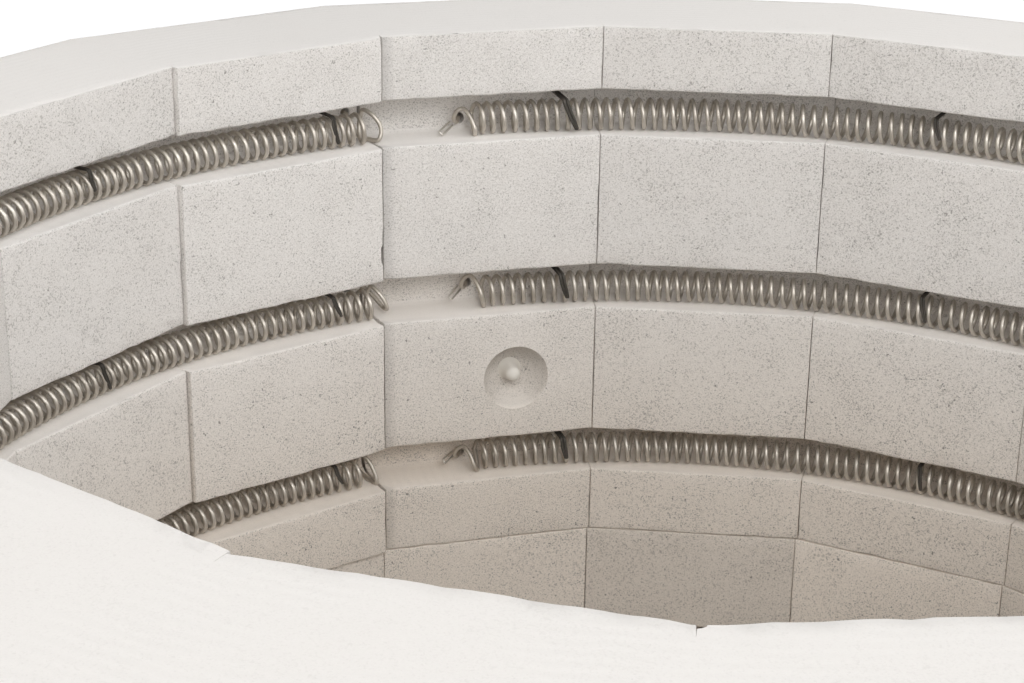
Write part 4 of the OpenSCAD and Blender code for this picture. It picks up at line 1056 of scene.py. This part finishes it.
def band(outer, inner):
    """A thin closed band between two outlines with the same number of points."""
    count = len(outer)
    rings = ((-MARK_T, inner), (-MARK_T, outer), (MARK_T, outer), (MARK_T, inner))
    verts = [Vector((x, y, z)) for x, line in rings for y, z in line]
    following = [(i + 1) % count for i in range(count)]
    closing = [(3 * count + i, 3 * count + k, k, i) for i, k in enumerate(following)]
    return verts, ring_quads(4, count) + closing


def rounded_outline(half_y, half_z, corner, steps=6):
    """Outline of a plate with round corners; a circle when both halves equal the corner."""
    line = []
    for turn, (sy, sz) in enumerate(((1, 1), (-1, 1), (-1, -1), (1, -1))):
        y, z = sy * (half_y - corner), sz * (half_z - corner)
        for i in range(steps + 1):
            a = math.pi / 2 * (turn + i / steps)
            line.append((y + corner * math.cos(a), z + corner * math.sin(a)))
    return line


def disc_outline(r):
    return rounded_outline(r, r, r)


def front_frame(node):
    """Frame on the middle of a node's front, on the panel that carries the control box."""
    local = coordinates(frame["nodes"][node].data) @ np.array(panel_frame(TC_PANEL))[:3, :3]
    low, high = local.min(axis=0), local.max(axis=0)
    return panel_frame(TC_PANEL, high[0], (low[1] + high[1]) / 2, (low[2] + high[2]) / 2)


def key_marks():
    """Pointers on the four keys: back, down, up and start."""
    for node, turn in (("key_back", 90), ("key_down", 180), ("key_up", 0), ("key_start", 270)):
        turned = Matrix.Rotation(math.radians(turn), 2)
        shape = moved(prism([tuple(turned @ Vector(p)) for p in POINTER]), front_frame(node))
        shaped(node + "_mark", shape, MARKS, node + "_cap", slot="key_plastic")


def digit_segments():
    """The seven bars of one digit, as outlines about its middle."""
    w, h, b, g = DIGIT_W, DIGIT_H, STROKE, STROKE_GAP
    level = [(-w + g, 0), (-w + b + g, b), (w - b - g, b), (w - g, 0), (w - b - g, -b), (-w + b + g, -b)]
    upright = [(0, g), (b, b + g), (b, h - b - g), (0, h - g), (-b, h - b - g), (-b, b + g)]
    bars = [[(y, z + dz) for y, z in level] for dz in (-h, 0.0, h)]
    bars += [[(y + dy, z + dz) for y, z in upright] for dy in (-w, w) for dz in (-h, 0.0)]
    return bars


def display_marks():
    """Unlit bars of four digits behind the window, and the line printed round the display and the keys."""
    shapes = []
    for i in range(4):
        across = (i - 1.5) * DIGIT_PITCH
        shapes += [prism([(y + across, z) for y, z in outline]) for outline in digit_segments()]
    window, key, panel = front_frame("display_window"), front_frame("key_up"), front_frame("control_panel")
    shaped("display_segments", moved(joined(shapes), window), SEGMENTS, "kiln", slot="display_glass")

    top, low = window.translation.z + LINE_ABOVE, key.translation.z - LINE_BELOW
    half_z = (top - low) / 2
    outer = rounded_outline(LINE_HALF, half_z, LINE_CORNER)
    inner = rounded_outline(LINE_HALF - LINE_T, half_z - LINE_T, LINE_CORNER - LINE_T)
    level = Matrix.Translation((0, 0, (top + low) / 2 - panel.translation.z))
    shaped("panel_line", moved(band(outer, inner), level @ panel), MARKS, "kiln", slot="panel_paint")


def rocker_marks():
    """Off and on marks on the two faces of the rocker."""
    pivot = Matrix.Translation(panel_point(TC_PANEL, -ROCKER_DEEP, 0, 0)) @ front_frame("power_switch")
    tilted = pivot @ Matrix.Rotation(-ROCKER_TILT, 4, "Y")
    out = ROCKER_H + ROCKER_MARK * math.tan(ROCKER_FACE)
    ring = band(disc_outline(0.0021), disc_outline(0.0013))
    stroke = prism(rounded_outline(0.0005, 0.0022, 0.0003))
    shapes = []
    for shape, side in ((ring, 1), (stroke, -1)):
        spot = Matrix.Translation((out, 0, side * ROCKER_MARK)) @ Matrix.Rotation(side * ROCKER_FACE, 4, "Y")
        shapes.append(moved(shape, tilted @ spot))
    shaped("rocker_marks", joined(shapes), MARKS, "rocker", slot="gloss_black")


# The handle's grip: bore radius, end rounding, waist, and depth and pitch of the ribs
GRIP_BORE = 0.0052
GRIP_END = 0.004
GRIP_WAIST = 0.0008
RIB_DEEP = 0.0009
RIB_PITCH = 0.009


def grip():
    """Ribbed sleeve on the handle's rod, turned on a lathe within the CAD sleeve."""
    turn = np.array(closed_lid())
    shut = coordinates(frame["nodes"]["handle_grip"].data) @ turn[:3, :3].T + turn[:3, 3]
    low, high = shut.min(axis=0), shut.max(axis=0)
    half, r = (high[0] - low[0]) / 2, (high[2] - low[2]) / 2
    profile = [(GRIP_BORE, -half)]
    for z in np.linspace(-half, half, 240):
        rib = max(0.0, math.cos(2 * math.pi * z / RIB_PITCH)) ** 6
        width = r - GRIP_WAIST * (z / half) ** 2 - RIB_DEEP * rib
        over = max(0.0, abs(z) - (half - GRIP_END)) / GRIP_END
        profile.append((width - GRIP_END * (1 - math.sqrt(max(0.0, 1 - over * over))), z))
    profile.append((GRIP_BORE, half))
    across = Matrix.Translation(Vector((low + high) / 2)) @ Matrix.Rotation(math.pi / 2, 4, "Y")
    shape = moved(lathe(profile), closed_lid().inverted() @ across)
    shaped("handle_grip_sleeve", shape, PLASTIC, "lid", ("handle_grip",))


# Bevels of the plain parts, by material
PLAIN = (
    (DARK_PAINT, {"stand_frame": 0.0008, "stand_legs": 0.0008, "hinge_bracket": 0.0008, "hinge_arms": 0.0006,
                  "control_box": 0.0004}),
    (PANEL_PAINT, {"control_panel": 0.0004}),
    (STEEL, {"damper_plate": 0.0005, "damper_rails": 0.0003, "hinge_pin": 0.0008, "handle_rod": 0.0006,
             "jacket_bolts": 0.0004}),
    (CERAMIC, {"element_bushings": 0.0005, "peephole_plug": 0.0012, "terminal_block": 0.0006}),
    (BRASS, {"element_terminals": 0.0004}),
    (PLASTIC, {"thermocouple_head": 0.0008, "controller": 0.0008, "power_switch": 0.0005, "contactors": 0.001,
               "cable_gland": 0.0006}),
    (KEY_PLASTIC, {"key_back": 0.0008, "key_down": 0.0008, "key_up": 0.0008, "key_start": 0.0008}),
    (GLOSS, {"power_rocker": 0.0006}),
    (GLASS, {"display_window": 0.0003}),
    (LENS, {"pilot_lamp": 0.0004}),
)


def hardware():
    """Plain parts with eased edges, then screws, marks and grip."""
    for material, bevels in PLAIN:
        for node, bevel in bevels.items():
            dressed(node, material, bevel)
    for node, bevel in (("base_pan", 0.0004), ("jacket", 0.0), ("lid_band", 0.0)):
        dressed(node, STAINLESS, bevel, angle=20.0)
    for node in ("floor_bricks", "inlet_brick", "lid_bricks"):
        dressed(node, FIREBRICK, 0.0009, loose=True)
    for node in ("case_screws", "lid_screws"):
        screws(node)
    key_marks()
    display_marks()
    rocker_marks()
    grip()


# Floor and light; each lamp has its angles round and above the chamber's mouth, and its power
AMBIENT = 0.55
FLOOR_SIZE = 14.0
FLOOR_Z = -0.0004
FLOOR_GLOW = 0.50
LAMP_AWAY = 3.5
LAMP_SIZE = 1.8
LAMPS = (("low", 185, 20, 30.0), ("high", 185, 40, 42.0), ("side", 250, 28, 35.0), ("fill", 130, 28, 34.0))


def seen_ray(tree):
    """1 for rays that show the backdrop itself: from the camera, in metal or through glass."""
    path = add(tree, "ShaderNodeLightPath").outputs
    flag = math_node(tree, "MAXIMUM", path["Is Camera Ray"], path["Is Glossy Ray"])
    return math_node(tree, "MAXIMUM", flag, path["Is Transmission Ray"])


def lamp_at(name, around, above, energy):
    """A round soft lamp aimed at the chamber's mouth, placed by its two angles in degrees."""
    lamp = bpy.data.lights.new(name, "AREA")
    lamp.shape = "DISK"
    lamp.size = LAMP_SIZE
    lamp.energy = energy
    obj = linked(name, lamp)
    mouth = Vector((0, 0, RIM_Z))
    away = direction(math.radians(around), math.radians(above))
    obj.location = mouth + LAMP_AWAY * away
    obj.rotation_euler = away.to_track_quat("Z", "Y").to_euler()


def studio():
    world = bpy.data.worlds.new("studio")
    scene.world = world
    world.use_nodes = True
    tree = world.node_tree
    back = tree.nodes["Background"]
    back.inputs["Color"].default_value = rgba(1.0, 1.0, 1.0)
    tree.links.new(spread(tree, seen_ray(tree), 0.0, 1.0, AMBIENT, 1.0), back.inputs["Strength"])

    half = FLOOR_SIZE / 2
    corners = [(-half, -half, 0), (half, -half, 0), (half, half, 0), (-half, half, 0)]
    mesh = mesh_of("floor", corners, [(0, 1, 2, 3)])
    floor = linked("floor", mesh)
    floor.location.z = FLOOR_Z
    mat, tree, bsdf, _ = new_material("floor_paper", (0.88, 0.88, 0.88), 0.9, Specular_IOR_Level=0.0,
                                      Emission_Color=rgba(1.0, 1.0, 1.0))
    glow = spread(tree, seen_ray(tree), 0.0, 1.0, 0.0, FLOOR_GLOW)
    tree.links.new(glow, bsdf.inputs["Emission Strength"])
    mesh.materials.append(mat)

    for lamp in LAMPS:
        lamp_at(*lamp)
    scene.view_settings.view_transform = "Standard"


# Camera, fitted to the photo
CAMERA_AT = Vector((-0.57265, 0.16562, 0.82604))
CAMERA_TURN = math.radians(-10.45)
CAMERA_PITCH = math.radians(21.03)
CAMERA_ROLL = math.radians(0.84)
FOCAL = 72.91


def camera():
    data = bpy.data.cameras.new("camera")
    data.sensor_width = 36.0
    data.lens = FOCAL
    data.clip_start = 0.01
    obj = linked("camera", data)
    ahead = direction(CAMERA_TURN, -CAMERA_PITCH)
    level = Vector((math.sin(CAMERA_TURN), -math.cos(CAMERA_TURN), 0.0))
    right = math.cos(CAMERA_ROLL) * level + math.sin(CAMERA_ROLL) * level.cross(ahead)
    up = right.cross(ahead)
    turned = Matrix((right, up, -ahead)).transposed()
    obj.matrix_world = Matrix.Translation(CAMERA_AT) @ turned.to_4x4()
    scene.camera = obj


camera()
studio()
wall()
elements()
hairpins()
staples()
sheath()
hardware()
